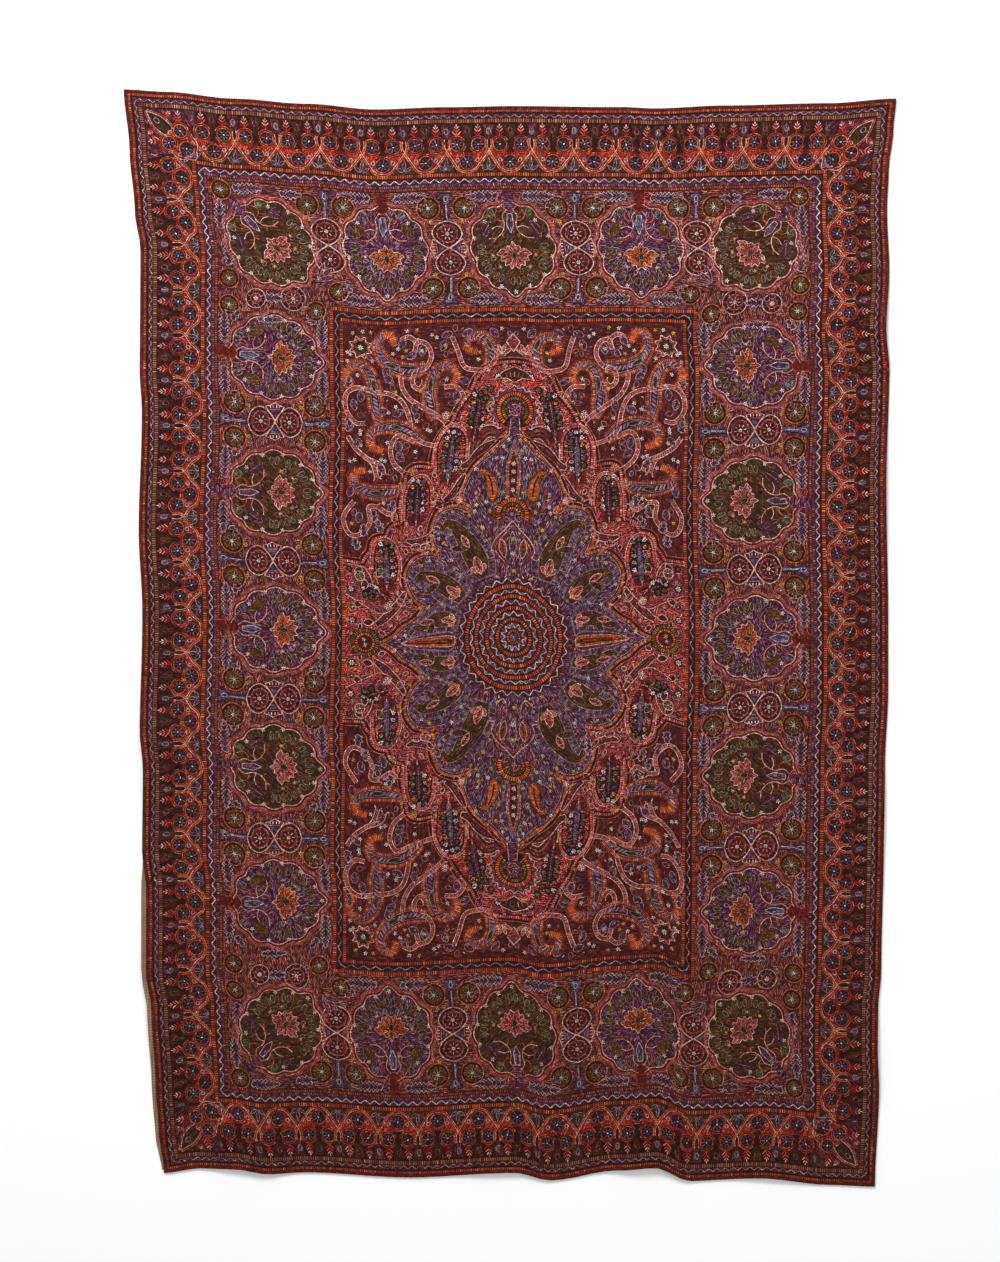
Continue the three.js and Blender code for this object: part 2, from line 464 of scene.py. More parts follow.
def ribbon(path, widths):
    """The outline around a path, with a width at each share of the way along it."""
    path = spaced(np.asarray(path, float), 3)
    sideways = path_ways(path)[1]
    shares = np.linspace(0, 1, len(path))
    half = np.interp(shares, np.linspace(0, 1, len(widths)), widths)[:, None] / 2
    return np.vstack([path + sideways * half, (path - sideways * half)[::-1]])


def beside(path, offset):
    """A path that runs beside another one."""
    path = spaced(np.asarray(path, float), 3)
    return path + path_ways(path)[1] * offset


def zigzag(start, end, wave, swing, phase=0):
    """A zigzag from one point to another."""
    start, end = np.array(start, float), np.array(end, float)
    length = np.hypot(*(end - start))
    turns = max(2, 2 * round(length / wave))
    way = (end - start) / length
    side = np.array([-way[1], way[0]])
    shares = np.arange(turns + 1) / turns
    sway = np.where((np.arange(turns + 1) + phase) % 2 == 0, swing, -swing)
    return start + (end - start) * shares[:, None] + side * sway[:, None]


def both_sides(side):
    """Closes an outline from its right side, which starts and ends on the middle line."""
    return np.vstack([side, (side * (-1, 1))[::-1][1:-1]])


def round_at(spot, reach, angle, drop=0, turn=0):
    """A place at a reach and an angle, moved down by a drop."""
    way = math.radians(angle)
    return spot.at(reach * math.cos(way), reach * math.sin(way) - drop, turn=turn)


# Small motifs

def floret(spot, radius=3.6, petals=5, wool="white", eye="yellow"):
    radius *= 0.88
    angles = np.arange(petals) * 360 / petals + rng.uniform(0, 60)
    reach = radius * 0.62
    stitches(spot, reach * unit_ways(angles), angles, radius * 0.78, wool, width=1.9, rise=1.5)
    stitches(spot, (0, 0), rng.uniform(0, 180), 2.2, eye, width=2.0, rise=1.8)


def rosette(spot, radius, petals, wool, ground, rim, eye="white"):
    """A round flower: a dark ground, a corded rim, petals and an eye."""
    edged(spot, circle(radius), ground, rng.uniform(0, 180), rim, line=cord)
    angles = np.arange(petals) * 360 / petals + rng.uniform(0, 40)
    ways = unit_ways(angles)
    stitches(spot, ways * radius * 0.54, angles, radius * 0.52, wool, width=2.3)
    stitches(spot, (0, 0), rng.uniform(0, 180), radius * 0.3, eye, width=2.4, rise=1.8)


def leaf(spot, length, width, wool, rim=None, vein=None):
    """A leaf along +Y from its base."""
    shares = np.linspace(0, 1, 7)
    half = width / 2 * np.sin(math.pi * shares) ** 0.8
    side = np.stack([half, length * shares], axis=1)
    outline = both_sides(side)
    fill(spot, outline, wool, grain=55)
    if rim:
        cord(spot, outline, rim, closed=True, width=1.8, length=4)
    if vein:
        cord(spot, [(0, length * 0.15), (0, length * 0.8)], vein, width=1.6, length=4)


def ringlet(spot, width, height, wool, inside=None):
    """A small open oval."""
    outline = circle(width / 2, height / 2, sides=10)
    if inside:
        fill(spot, outline, inside, grain=90)
    cord(spot, outline, wool, closed=True, width=1.7, length=3.4)


def flame(spot, size):
    """An upright sprig along +Y: three tiers of paired petals and a tip."""
    for share, wool in ((0.16, "red"), (0.42, "coral"), (0.68, "pink")):
        reach = size * 0.3 * (1.25 - share)
        for side in (-1, 1):
            angle = 90 - side * 42
            stitches(spot, (side * reach * 0.6, size * share + reach * 0.3), angle, reach * 1.35,
                     wool, width=2.4, rise=1.5)
    cord(spot, [(0, 0), (0, size * 0.7)], "red orange", width=1.9, length=4)
    stitches(spot, (0, size * 0.88), 90, size * 0.24, "pink", width=2.4, rise=1.6)


def spray(spot, length, width, wool="blue"):
    """A feather along +Y: a toothed outline of pale wool with slanted barbs inside."""
    teeth = max(3, round(length / 7.5))
    shares = np.arange(2 * teeth + 1) / (2 * teeth)
    swell = np.sin(math.pi * np.clip(shares * 0.88 + 0.12, 0, 1)) ** 0.6 * width / 2
    swell *= np.where(np.arange(2 * teeth + 1) % 2 == 0, 0.55, 1.2)
    side = np.stack([swell, shares * length], axis=1)
    outline = both_sides(side)
    fill(spot, outline * (1.2, 1), "plum", grain=60)
    for k in range(teeth):
        for sign in (-1, 1):
            place = (sign * width * 0.19, (k + 0.55) * length / teeth)
            stitches(spot, place, 90 - sign * 48, width * 0.36, (wool, "lilac")[k % 2], width=2.2)
    strokes(spot, outline, "pale lilac", closed=True, width=1.3, longest=6, rise=1.1)


def triangle(spot, size, wool="blue"):
    """A small corded triangle that points along +Y."""
    outline = [(-size * 0.6, 0), (size * 0.6, 0), (0, size)]
    edged(spot, outline, wool, 90, "orange", 1.8)
    stitches(spot, (0, size * 0.34), 0, size * 0.4, "pale lilac", width=1.8)


def contour(spot, outline, steps, spacing, width=2.3, length=6):
    """Lines of stitching that follow an outline outwards, one wool for each step."""
    outline = np.asarray(outline, float)
    middle = outline.mean(axis=0)
    reach = np.hypot(*(outline - middle).T)[:, None]
    for k, wool in enumerate(steps):
        grown = middle + (outline - middle) * (1 + k * spacing / reach)
        cord(spot, grown, wool, closed=True, width=width, length=length, rise=1.1)


# The straight bands run round the cloth

# How far in each part of the layout begins, from the sides and from the ends
LAYOUT = {
    "hem": {"side": 0, "end": 0},
    "ladder 1": {"side": 6.4, "end": 6.2, "wide": 4.2},
    "dark 1": {"side": 10.8, "end": 10.4},
    "zigzag 1": {"side": 14, "end": 13.4, "wide": 8.4},
    "ladder 2": {"side": 22.4, "end": 21.8, "wide": 7},
    "scallops": {"side": 31, "end": 30},
    "ladder 3": {"side": 106, "end": 116, "wide": 6.5},
    "dark 2": {"side": 113, "end": 123},
    "zigzag 2": {"side": 114.5, "end": 124.5, "wide": 10},
    "hatch 2": {"side": 125, "end": 135, "wide": 4.5},
    "line 2": {"side": 130.5, "end": 140.5, "wide": 4},
    "medallions": {"side": 136.5, "end": 146.5},
    "ladder 4": {"side": 330, "end": 353, "wide": 6.5},
    "zigzag 3": {"side": 338, "end": 361, "wide": 9},
    "ladder 5": {"side": 348, "end": 371, "wide": 6},
    "field": {"side": 355.5, "end": 379.5},
}
LADDER_PITCH = 3.9
LADDER_COVER = 0.86


def ring_box(x, y):
    return [(-x, -y), (x, -y), (x, y), (-x, y)]


def band_fill(name, wool):
    """Fills all the cloth inside a band's outer edge, with rows along its nearest side."""
    x, y = WIDTH / 2 - LAYOUT[name]["side"], HEIGHT / 2 - LAYOUT[name]["end"]
    tilt = WIDTH / 2
    fill(CLOTH, ring_box(x, y), wool, grain=90)
    for up in (1, -1):
        top, foot = up * y, up * (y - tilt)
        fill(CLOTH, [(-x, top), (x, top), (x - tilt, foot), (tilt - x, foot)], wool, grain=0)


def ladder(name, wool):
    """A band of rungs round the cloth."""
    side, end, wide = (LAYOUT[name][key] for key in ("side", "end", "wide"))
    x, y = WIDTH / 2 - side - wide / 2, HEIGHT / 2 - end - wide / 2
    for sign in (1, -1):
        for degrees, reach, away, order in ((90, x, y, [0, 1]), (0, y, x, [1, 0])):
            runs = np.arange(-reach, reach, LADDER_PITCH)
            places = np.stack([runs, np.full(len(runs), sign * away)], axis=1)[:, order]
            stitches(CLOTH, places, degrees, wide, wool, LADDER_PITCH * LADDER_COVER, 1.4)


def zigzag_band(name, wave, wool):
    inset = LAYOUT[name]["wide"] / 2
    x = WIDTH / 2 - (LAYOUT[name]["side"] + inset)
    y = HEIGHT / 2 - (LAYOUT[name]["end"] + inset)
    corners = ring_box(x, y)
    for start, finish in zip(corners, corners[1:] + corners[:1]):
        path = zigzag(start, finish, wave, inset - 1.6)
        strokes(CLOTH, path, wool, width=2.1, longest=9, rise=1.5)


def straight_bands():
    for name, wool in (
        ("hem", "hem red"), ("dark 1", "dark"), ("zigzag 1", "plum"), ("ladder 2", "maroon"),
        ("scallops", "dark"), ("ladder 3", "maroon"), ("dark 2", "dark"), ("zigzag 2", "plum"),
        ("line 2", "maroon"), ("medallions", "border ground"), ("ladder 4", "maroon"),
        ("zigzag 3", "dark"), ("ladder 5", "maroon"), ("field", "field ground"),
    ):
        band_fill(name, wool)
    for name, wool in (
        ("ladder 1", "rust"), ("ladder 2", "tan"), ("ladder 3", "rust"),
        ("line 2", "brown orange"), ("ladder 4", "rust"), ("ladder 5", "rust"),
    ):
        ladder(name, wool)
    for name, wave, wool in (
        ("zigzag 1", 15, "lilac"), ("zigzag 2", 17, "pale lilac"), ("zigzag 3", 21, "lilac"),
    ):
        zigzag_band(name, wave, wool)
    # The second zigzag has a line of violet rungs along its inner side
    ladder("hatch 2", "purple sheen")


# The scallop border: local X runs along the edge and Y points inwards

FLOWER_ROW = 35
NOTCH_ROW = 48
FLOWER_RADIUS = 11.8


def scallop_side(half, depth, sign):
    """The garland from the tip to the notch, where it crosses into the next scallop."""
    return smooth([(0, depth - 2), (sign * half * 0.36, depth - 6),
                   (sign * half * 0.62, depth - 18), (sign * half, NOTCH_ROW - 2),
                   (sign * (half + 4), NOTCH_ROW - 12), (sign * (half + 3), NOTCH_ROW - 22)])


def flower_disc(spot, x, y, grain):
    fill(spot, circle(15.5, middle=(x, y)), "maroon", grain)
    cord(spot, circle(15.2, middle=(x, y)), "rust", closed=True, width=2)


def tip_flower(spot, x, y, rim):
    rosette(spot.at(x, y), FLOWER_RADIUS + 1, 8, "violet sheen", "dark", rim)
    cord(spot, circle(FLOWER_RADIUS + 4.4, middle=(x, y)), "red", closed=True, width=2)


def scallop(spot, pitch, depth):
    half = pitch / 2
    side = pitch / 4
    # The garland's red body, below the outer flowers
    body = [(-half, NOTCH_ROW - 2), (-half * 0.62, depth - 18), (-half * 0.36, depth - 6),
            (0, depth - 2), (half * 0.36, depth - 6), (half * 0.62, depth - 18),
            (half, NOTCH_ROW - 2), (side, FLOWER_ROW + 6), (0, FLOWER_ROW + 18),
            (-side, FLOWER_ROW + 6)]
    fill(spot, body, "red orange", grain=60)
    for sign in (-1, 1):
        flower_disc(spot, sign * side, FLOWER_ROW, 90 * sign)
    fill(spot, [(-4, 14), (4, 14), (5.5, FLOWER_ROW), (0, FLOWER_ROW + 17), (-5.5, FLOWER_ROW)],
         "dark", grain=90)
    # The spaces between the sprigs
    fill(spot, [(-9, 0), (9, 0), (5, 24), (-5, 24)], "dark olive", grain=90)
    fill(spot, circle(3.6, 6, (0, 11)), "maroon", grain=90)
    for sign in (-1, 1):
        near = spot.at(sign * half, 0)
        fill(near, [(-9, 0), (9, 0), (5, 26), (-5, 26)], "plum", grain=90)
        ringlet(near.at(0, 12), 7, 12, "lilac", "olive")
    ringlet(spot.at(0, 11), 7, 12, "rose", "maroon")
    for sign in (-1, 1):
        path = scallop_side(half, depth, sign)
        cord(spot, path, "pink", width=1.8)
        cord(spot, beside(path, sign * 3), "orange", width=2.4)
        rosette(spot.at(sign * side, FLOWER_ROW), FLOWER_RADIUS, 8, "violet sheen", "dark", "rust")
        flame(spot.at(sign * side, FLOWER_ROW - 14, turn=180), 22)
        place = spot.at(sign * half * 0.47, depth - 22, turn=sign * 30)
        ringlet(place, 6, 8, "pale lilac", "blue")
    tip_flower(spot, 0, depth - 18, "rust")


def scallop_gap(spot, pitch, depth):
    """The dark space between two scallops, centred on the notch."""
    half = pitch / 2
    fill(spot, [(-half, depth), (-half * 0.68, depth - 4), (-half * 0.4, depth - 17),
                (0, NOTCH_ROW), (half * 0.4, depth - 17), (half * 0.68, depth - 4),
                (half, depth)], "dark olive", grain=90)
    for angle in (-52, 0, 52):
        place = spot.at(0, depth - 2).at(0, 0, turn=180 + angle)
        tall = 17 if angle else 24
        strokes(place, [(0, 2), (3, tall * 0.5), (0, tall), (-3, tall * 0.5)], "lilac", closed=True,
                width=1.6)


def scallop_corner(spot, depth):
    """A corner of the scallop border: X and Y both point inwards from the outer corner."""
    leaf_tip = smooth([(4, 4), (30, 14), (46, 34), (38, 38), (34, 46), (14, 30), (4, 4)])
    fill(spot, [(0, 0), (78, 0), (78, 40), (40, 78), (0, 78)], "plum", grain=45)
    fill(spot, [(44, 50), (50, 44), (80, 48), (84, 64), (64, 84), (48, 80)], "red orange", 45)
    fill(spot, leaf_tip, "dark olive", grain=45)
    cord(spot, leaf_tip, "pink", width=2)
    cord(spot, beside(leaf_tip, -3), "salmon", width=2)
    ringlet(spot.at(20, 20, turn=-45), 8, 11, "lilac", "maroon")
    for flip in (False, True):
        side = Spot(spot.matrix @ [[0, 1], [1, 0]], spot.origin) if flip else spot
        flower_disc(side, 58, 37, 0)
        rosette(side.at(58, 37), FLOWER_RADIUS, 8, "violet sheen", "dark", "orange")
        flame(side.at(54, 23, turn=190), 22)
        flame(side.at(34, 14, turn=225), 16)
        ringlet(side.at(78, 56), 6, 8, "pale lilac", "blue")
    tip_flower(spot, 67, 67, "orange")
    fill(spot, [(62, 83), (83, 62), (depth, depth - 20), (depth, depth), (depth - 20, depth)],
         "dark olive", grain=45)
    cord(spot, arcs([(80, 46), (84, 70, -4), (70, 84, -10), (46, 80, -4)]), "pink", width=1.8)


SCALLOPS_PER_END = 15
SCALLOPS_PER_SIDE = 21
SCALLOP_CORNER = 78


def scallop_border():
    inset = LAYOUT["scallops"]["side"]
    depth_side = LAYOUT["ladder 3"]["side"] - inset - 1
    depth_end = LAYOUT["ladder 3"]["end"] - inset - 1
    x, y = WIDTH / 2 - inset, HEIGHT / 2 - inset
    sides = (
        ((0, y), 180, x, depth_end, SCALLOPS_PER_END),
        ((0, -y), 0, x, depth_end, SCALLOPS_PER_END),
        ((-x, 0), -90, y, depth_side, SCALLOPS_PER_SIDE),
        ((x, 0), 90, y, depth_side, SCALLOPS_PER_SIDE),
    )
    for origin, turn, half_run, depth, count in sides:
        run = 2 * (half_run - SCALLOP_CORNER)
        pitch = run / count
        edge = CLOTH.at(*origin, turn=turn)
        for k in range(count + 1):
            scallop_gap(edge.at(k * pitch - run / 2, 0), pitch, depth)
        for k in range(count):
            place = (k + 0.5) * pitch - run / 2
            scallop(edge.at(place + rng.normal(0, 0.7), rng.normal(0, 0.6)), pitch, depth)
    for sx, sy in product((1, -1), repeat=2):
        scallop_corner(Spot([[-sx, 0], [0, -sy]], (sx * x, sy * y)), depth_side)


# The medallion border: in each medallion local Y points to the stem, at its outer side

def lotus(spot, wool):
    """A flower with its point along +Y, side points and a toothed foot."""
    half = [(0, 21), (5, 12), (11, 13), (13, 7), (21, 8), (31, -1), (22, -5), (25, -13), (17, -13),
            (17, -22), (10, -19), (7, -28), (2, -23)]
    outline = half + [(-x, y) for x, y in half[:0:-1]]
    fill(spot, np.array(outline) * 1.12, "maroon", grain=90)
    edged(spot, outline, wool, "radial", "pink", 1.9)
    for angle in range(-162, 198, 36):
        way = math.radians(angle)
        stitches(spot, (13 * math.cos(way), 11 * math.sin(way) - 4), angle, 9, "hem red", width=1.6)
    fill(spot, circle(4.5, 7, (0, -4)), "dark olive", grain=90)
    cord(spot, circle(4.5, 7, (0, -4)), "grey green", closed=True, width=1.5, length=3.5)


def medallion(spot, dark):
    ground, stem, flower = (
        ("bronze", "purple", "salmon") if dark else ("purple", "hem red", "amber")
    )
    accent = "plum" if dark else "umber"
    body = lobed(74, 79, 12, 0.085)
    body[:, 1] -= np.where(body[:, 1] < 0, 9 * np.exp(-((body[:, 0] / 13) ** 2)), 0)
    contour(spot, body * 1.035, ("hem red", "salmon", "halo", "rose"), 2.6)
    fill(spot, body, ground, grain=50 if dark else "radial")
    strokes(spot, body, "pink", closed=True, width=2.2, longest=6)
    fill(spot, [(-9, 58), (9, 58), (9, 100), (-9, 100)], stem, grain=0)
    for x in (-9, 9):
        strokes(spot, [(x, 58), (x, 100)], "rose", width=1.8)
    cord(spot, arcs([(-20, 92), (0, 62, -6), (20, 92, -6)]), "salmon", width=1.8)
    # The trunk narrows to a spearhead above the flower
    spear = [(0, 24), (6, 38), (4, 58), (-4, 58), (-6, 38)]
    edged(spot, spear, "purple sheen" if dark else "blue", 90, "pale lilac", 1.7)
    for sign in (-1, 1):
        side = Spot(spot.matrix @ [[sign, 0], [0, 1]], spot.origin)
        # Branches curl down from the trunk, with twigs
        for wool, points in (
            ("pink", [(5, 66), (13, 54), (10, 41), (14, 27), (26, 17), (40, 16)]),
            ("orange", [(11, 46), (20, 47), (26, 56), (21, 66)]),
            ("pink", [(12, 34), (22, 37), (32, 33)]),
            ("orange", [(26, 17), (32, 9)]),
            ("orange", [(17, 25), (12, 16)]),
        ):
            cord(side, smooth(points), wool, width=2, length=4)
        leaf(side.at(52, 18, turn=34), 34, 17, accent, "purple sheen" if dark else "olive",
             "grey green" if dark else "brown orange")
        leaf(side.at(32, 52, turn=-4), 17, 11, "green" if dark else "blue", "grey green")
        for k, angle in enumerate(np.arange(3, -88, -9.8)):
            reach = 55 + 5 * math.sin(-math.radians(angle))
            place = round_at(side, reach, angle, turn=angle - 90)
            ringlet(place, 7.5, 15, "olive" if k % 3 == 2 else "grey green",
                    "umber" if dark else ("plum" if k % 2 else "umber"))
        for k, angle in enumerate((-2, -20, -38, -56, -74)):
            place = round_at(side, 39, angle, 6, angle - 90)
            ringlet(place, 6, 10, ("brown orange", "grey green")[k % 2] if dark else "lilac")
        for angle, reach in ((47, 64), (16, 67), (-14, 68), (-44, 69), (-70, 72)):
            floret(round_at(side, reach, angle), 4.4)
        for angle in (-11, -47):
            floret(round_at(side, 38, angle, 6), 3.8, 5, "yellow", "white")
    floret(spot.at(0, -79), 4.6)
    lotus(spot.at(0, -11), flower)


def olive_roundel(spot, radius=17.5):
    fill(spot, circle(radius + 3), "dark", grain=60)
    cord(spot, circle(radius + 2.8), "amber", closed=True, width=2.3)
    fill(spot, circle(radius), "umber", grain="radial")
    cord(spot, circle(radius - 0.4), "dark", closed=True, width=1.8)
    cord(spot, circle(radius * 0.6), "brown orange", closed=True, width=1.8, length=4)
    fill(spot, circle(radius * 0.5), "dark olive", grain=0)
    angles = np.arange(9) * 40 + rng.uniform(0, 45)
    ways = unit_ways(angles)
    stitches(spot, ways * radius * 0.36, angles, radius * 0.32, "grey green", width=2)
    stitches(spot, ways * radius * 0.8, angles, radius * 0.22, "olive", width=2.2)
    floret(spot, 3.8, 5, "white")


def dark_roundel(spot, wide, tall):
    fill(spot, circle(wide, tall), "dark", grain=45)
    fill(spot, circle(wide - 5, tall - 5), "rose", grain=10)
    fill(spot, circle(wide - 8, tall - 8), "maroon", grain=10)
    cord(spot, circle(wide - 5, tall - 5), "salmon", closed=True, width=1.7, length=4)
    angles = np.arange(8) * 45 + rng.uniform(0, 45)
    ways = unit_ways(angles)
    stitches(spot, ways * (wide - 12), angles, 5, "pink", width=1.7)
    stitches(spot, ways * (wide - 2.5), angles, 4, "lilac", width=1.6)
    floret(spot, 4.2, 6, "white", "green")


def cluster(spot, sides=(-1, 1)):
    """Roundels between two medallions: local X runs across the band and Y along it."""
    for sx in sides:
        for sy in (-1, 1):
            olive_roundel(spot.at(sx * 70, sy * 31))
            floret(spot.at(sx * 46, sy * 27), 4.8, 6, "yellow", "olive")
            triangle(spot.at(sx * 44, sy * 34, turn=sy * 90 - 90 - sx * sy * 20), 12)
        # The blue stalk between two outer roundels
        stalk = arcs([(sx * 48, -4), (sx * 74, -4), (sx * 96, -12), (sx * 96, 12), (sx * 74, 4),
                      (sx * 48, 4)])
        fill(spot, stalk, "blue", grain=0)
        strokes(spot, stalk, "plum", closed=True, width=1.7, longest=5)
        strokes(spot, [(sx * 52, 0), (sx * 76, 0)], "pale lilac", width=1.8, longest=5)
        ringlet(spot.at(sx * 86, 0, turn=90), 6, 11, "pale lilac", "plum")
    # The two inner roundels share a figure of eight, with a fan above and below its waist
    for sx in (-1, 1):
        dark_roundel(spot.at(sx * 25, 0), 20.5, 23)
    for sy in (-1, 1):
        fan = arcs([(0, 2 * sy), (17, 27 * sy), (0, 33 * sy, sy * 2), (-17, 27 * sy, sy * 2),
                    (0, 2 * sy)])
        fill(spot, fan, "plum", grain=90)
        fill(spot, [(0, 8 * sy), (8, 19 * sy), (-8, 19 * sy)], "blue", grain=0)
        strokes(spot, [(-9, 21 * sy), (9, 21 * sy)], "coral", width=1.9, longest=5)
        for x in (-8, -3, 3, 8):
            stitches(spot, (x, 26 * sy), 90 - x, 5, "white", width=1.8)
        cord(spot, fan, "pink", closed=True, width=2)
    for way in product((-1, 1), repeat=2):
        path = smooth(np.multiply([(0, 0), (9, 15), (25, 26), (41, 18), (48, 0)], way))
        cord(spot, path, "pink", width=2.4)


# Medallions by their place along a side column or an end row, and whether they are dark
SIDE_MEDALLIONS = [(0, False), (243, True), (482, False)]
END_MEDALLIONS = [(0, True), (221, False)]
SIDE_CLUSTERS = [122, 368]
END_CLUSTERS = [111, 320]
SIDE_COLUMN = 418
END_ROW = 688
MEDALLION_TURN = 1.5


# The side columns sit a little high, the left one more so, and their rows are a little close
ROW_CLOSENESS = 0.985
ROW_RAISE = 9
ROW_TILT = 3


def row_place(side, y):
    return ROW_CLOSENESS * y + ROW_RAISE - ROW_TILT * side


def sprays_round(spot, reach):
    """Leaf sprays in the four corners round a medallion, against the frame lines."""
    for sx, sy in product((-1, 1), repeat=2):
        spray(spot.at(sx * reach, sy * 20, turn=90 - 90 * sy), 58, 17)
        spray(spot.at(sx * (reach - 12), sy * 62, turn=sx * sy * 40 + 90 - 90 * sy), 22, 13)


def both_ways(places):
    """Each place and its mirror, and a place on the middle line once."""
    return [(sign * at, dark) for at, dark in places for sign in ((1, -1) if at else (1,))]


def medallion_border():
    for sx in (-1, 1):
        for y, _ in both_ways(SIDE_MEDALLIONS):
            sprays_round(CLOTH.at(sx * SIDE_COLUMN, row_place(sx, y)), 85)
        for y, sy in product(SIDE_CLUSTERS, (-1, 1)):
            cluster(CLOTH.at(sx * SIDE_COLUMN, row_place(sx, sy * y)))
        for y, dark in both_ways(SIDE_MEDALLIONS):
            place = CLOTH.at(sx * SIDE_COLUMN, row_place(sx, y), turn=-90 * sx)
            medallion(place.at(0, 0, turn=rng.normal(0, MEDALLION_TURN)), dark)
    for sy in (-1, 1):
        for x, _ in both_ways(END_MEDALLIONS):
            sprays_round(CLOTH.at(x, sy * END_ROW, turn=90), 90)
        for x, sx in product(END_CLUSTERS, (-1, 1)):
            # Beside a corner only the outer roundels stand
            sides = (sy,) if x == END_CLUSTERS[-1] else (-1, 1)
            cluster(CLOTH.at(sx * x, sy * END_ROW, turn=90), sides)
        for x, dark in both_ways(END_MEDALLIONS):
            place = CLOTH.at(x, sy * END_ROW, turn=90 - 90 * sy)
            medallion(place.at(0, 0, turn=rng.normal(0, MEDALLION_TURN)), dark)
    for sx, sy in product((-1, 1), repeat=2):
        border_corner(Spot([[sx, 0], [0, sy]]))


def border_corner(quarter):
    """The corner medallion and the roundels round it, for the quarter with +X and +Y."""
    for x, y in ((495, 574), (344, 572), (496, 620), (306, 608), (498, 774)):
        olive_roundel(quarter.at(x, y), 14.5)
    for x, y, size in ((449, 588, 14.5), (384, 592, 19)):
        cord(quarter, circle(size + 2.6, middle=(x, y)), "pink", closed=True, width=1.9)
        dark_roundel(quarter.at(x, y), size, size)
    spray(quarter.at(433, 590, turn=90), 32, 15)
    spray(quarter.at(446, 552, turn=90), 46, 12)
    for x, y, turn in ((466, 566, 0), (362, 574, -20), (306, 632, 10), (344, 740, 180),
                       (290, 742, 180)):
        triangle(quarter.at(x, y, turn=turn), 13)
    for x, y, turn, length, width in ((496, 642, 0, 56, 17), (503, 704, 0, 54, 17),
                                      (478, 779, 90, 52, 17), (398, 774, 90, 40, 14)):
        spray(quarter.at(x, y, turn=turn), length, width)
    for angle in (20, 48, 76):
        leaf(quarter.at(342, 626, turn=angle), 34, 9, "plum", "lilac", "salmon")
    medallion(quarter.at(420, 687, turn=-42, size=0.98), True)


# The field, drawn for the quarter with +X and +Y and mirrored into the others

OUTER_MEDALLION = [
    (0, 487), (78, 432, 20), (110, 384, 3), (143, 305, 9), (190, 270, 22), (193, 211, 5),
    (220, 187, 8), (248, 160, 11), (262, 139, 2), (300, 141, 0),
]
INNER_MEDALLION = [
    (0, 366), (40, 326, 2), (82, 280, 6), (73, 226, 12), (130, 226, 10), (127, 150, 13),
    (172, 148, 5), (182, 86, 12), (157, 62, 3), (199, 28, -4), (238, 0, -4),
]


def whole(quarter):
    """Mirrors a quarter's path, from the top to the right, into a closed outline."""
    right = np.vstack([quarter, (quarter * (1, -1))[::-1]])
    return np.vstack([right, (right * (-1, 1))[::-1]])


def boteh(spot, points, widths):
    """A hooked boteh: its curl is all ladder, and its body has a hatched middle in a ladder rim."""
    path = smooth(points)
    fill(spot, ribbon(path, [width + 4 for width in widths]), "dark", grain=0)
    curl = len(path) // 4
    rungs(spot, path[: curl + 2], 9.5, "orange", pitch=3.6)
    body = spaced(path, 3)
    body = body[len(body) // 5:]
    rungs(spot, body, 8.5, ("lilac", "plum", "purple sheen"), pitch=2.8, slant=0.7)
    for sign in (-1, 1):
        rungs(spot, beside_varied(path, widths, sign * 0.5, -2.6 * sign), 5.2, "amber", pitch=3.4)
        edge = beside_varied(path, widths, sign * 0.5, -7 * sign)
        cord(spot, edge[len(edge) // 5:], "lilac", width=1.6, length=4)
        cord(spot, beside_varied(path, widths, sign * 0.5, 1.4 * sign), "rose", width=1.6, length=4)
    middle = body[len(body) // 2]
    way = body[len(body) // 2 + 2] - middle
    place = spot.at(*middle, turn=math.degrees(math.atan2(way[1], way[0])) - 90)
    leaf(place.at(0, -13), 26, 8, "dark olive", "grey green")


def beside_varied(path, widths, side, inset):
    """A path beside another at a share of its changing width, moved by an inset."""
    path = spaced(np.asarray(path, float), 3)
    shares = np.linspace(0, 1, len(path))
    wide = np.interp(shares, np.linspace(0, 1, len(widths)), widths)
    return path + path_ways(path)[1] * (wide * side + inset)[:, None]


def vine(spot, points, gap=3.5):
    """A ribbon of pink lines that flares into two points at its ends."""
    path = smooth(points)
    fill(spot, ribbon(path, [gap * 2 + 5] * 2), "dark", grain=45)
    rungs(spot, path, gap * 2 - 2.6, ("salmon", "rose"), pitch=2.8, rise=1, slant=0.5)
    for side in (gap, -gap):
        line = beside(path, side)
        flare = line[-1] + (line[-1] - path[-1]) * 1.1 + (path[-1] - path[-3]) * 0.5
        cord(spot, np.vstack([line, flare]), "pink", width=2.1)


# Botehs by their run from the curl to the foot, and their widths along it
BOTEHS = [
    ([(206, 522), (214, 540), (232, 535), (235, 512), (216, 488), (184, 476), (154, 480)],
     [11, 15, 18, 24, 28, 30, 20]),
    ([(281, 446), (292, 466), (278, 485), (258, 480), (245, 455), (242, 420), (238, 386)],
     [11, 15, 18, 24, 27, 27, 14]),
    ([(106, 448), (100, 468), (116, 483), (137, 474), (146, 448), (148, 422), (140, 388)],
     [11, 15, 17, 21, 25, 29, 14]),
    ([(64, 505), (80, 512), (74, 532), (50, 530), (38, 504), (47, 470)],
     [10, 13, 17, 22, 24, 13]),
    ([(230, 338), (250, 346), (248, 370), (220, 380), (190, 373), (160, 350)],
     [11, 15, 21, 27, 30, 17]),
    ([(258, 302), (276, 296), (277, 276), (258, 266), (233, 263), (208, 266), (190, 276)],
     [11, 15, 20, 26, 28, 24, 10]),
]
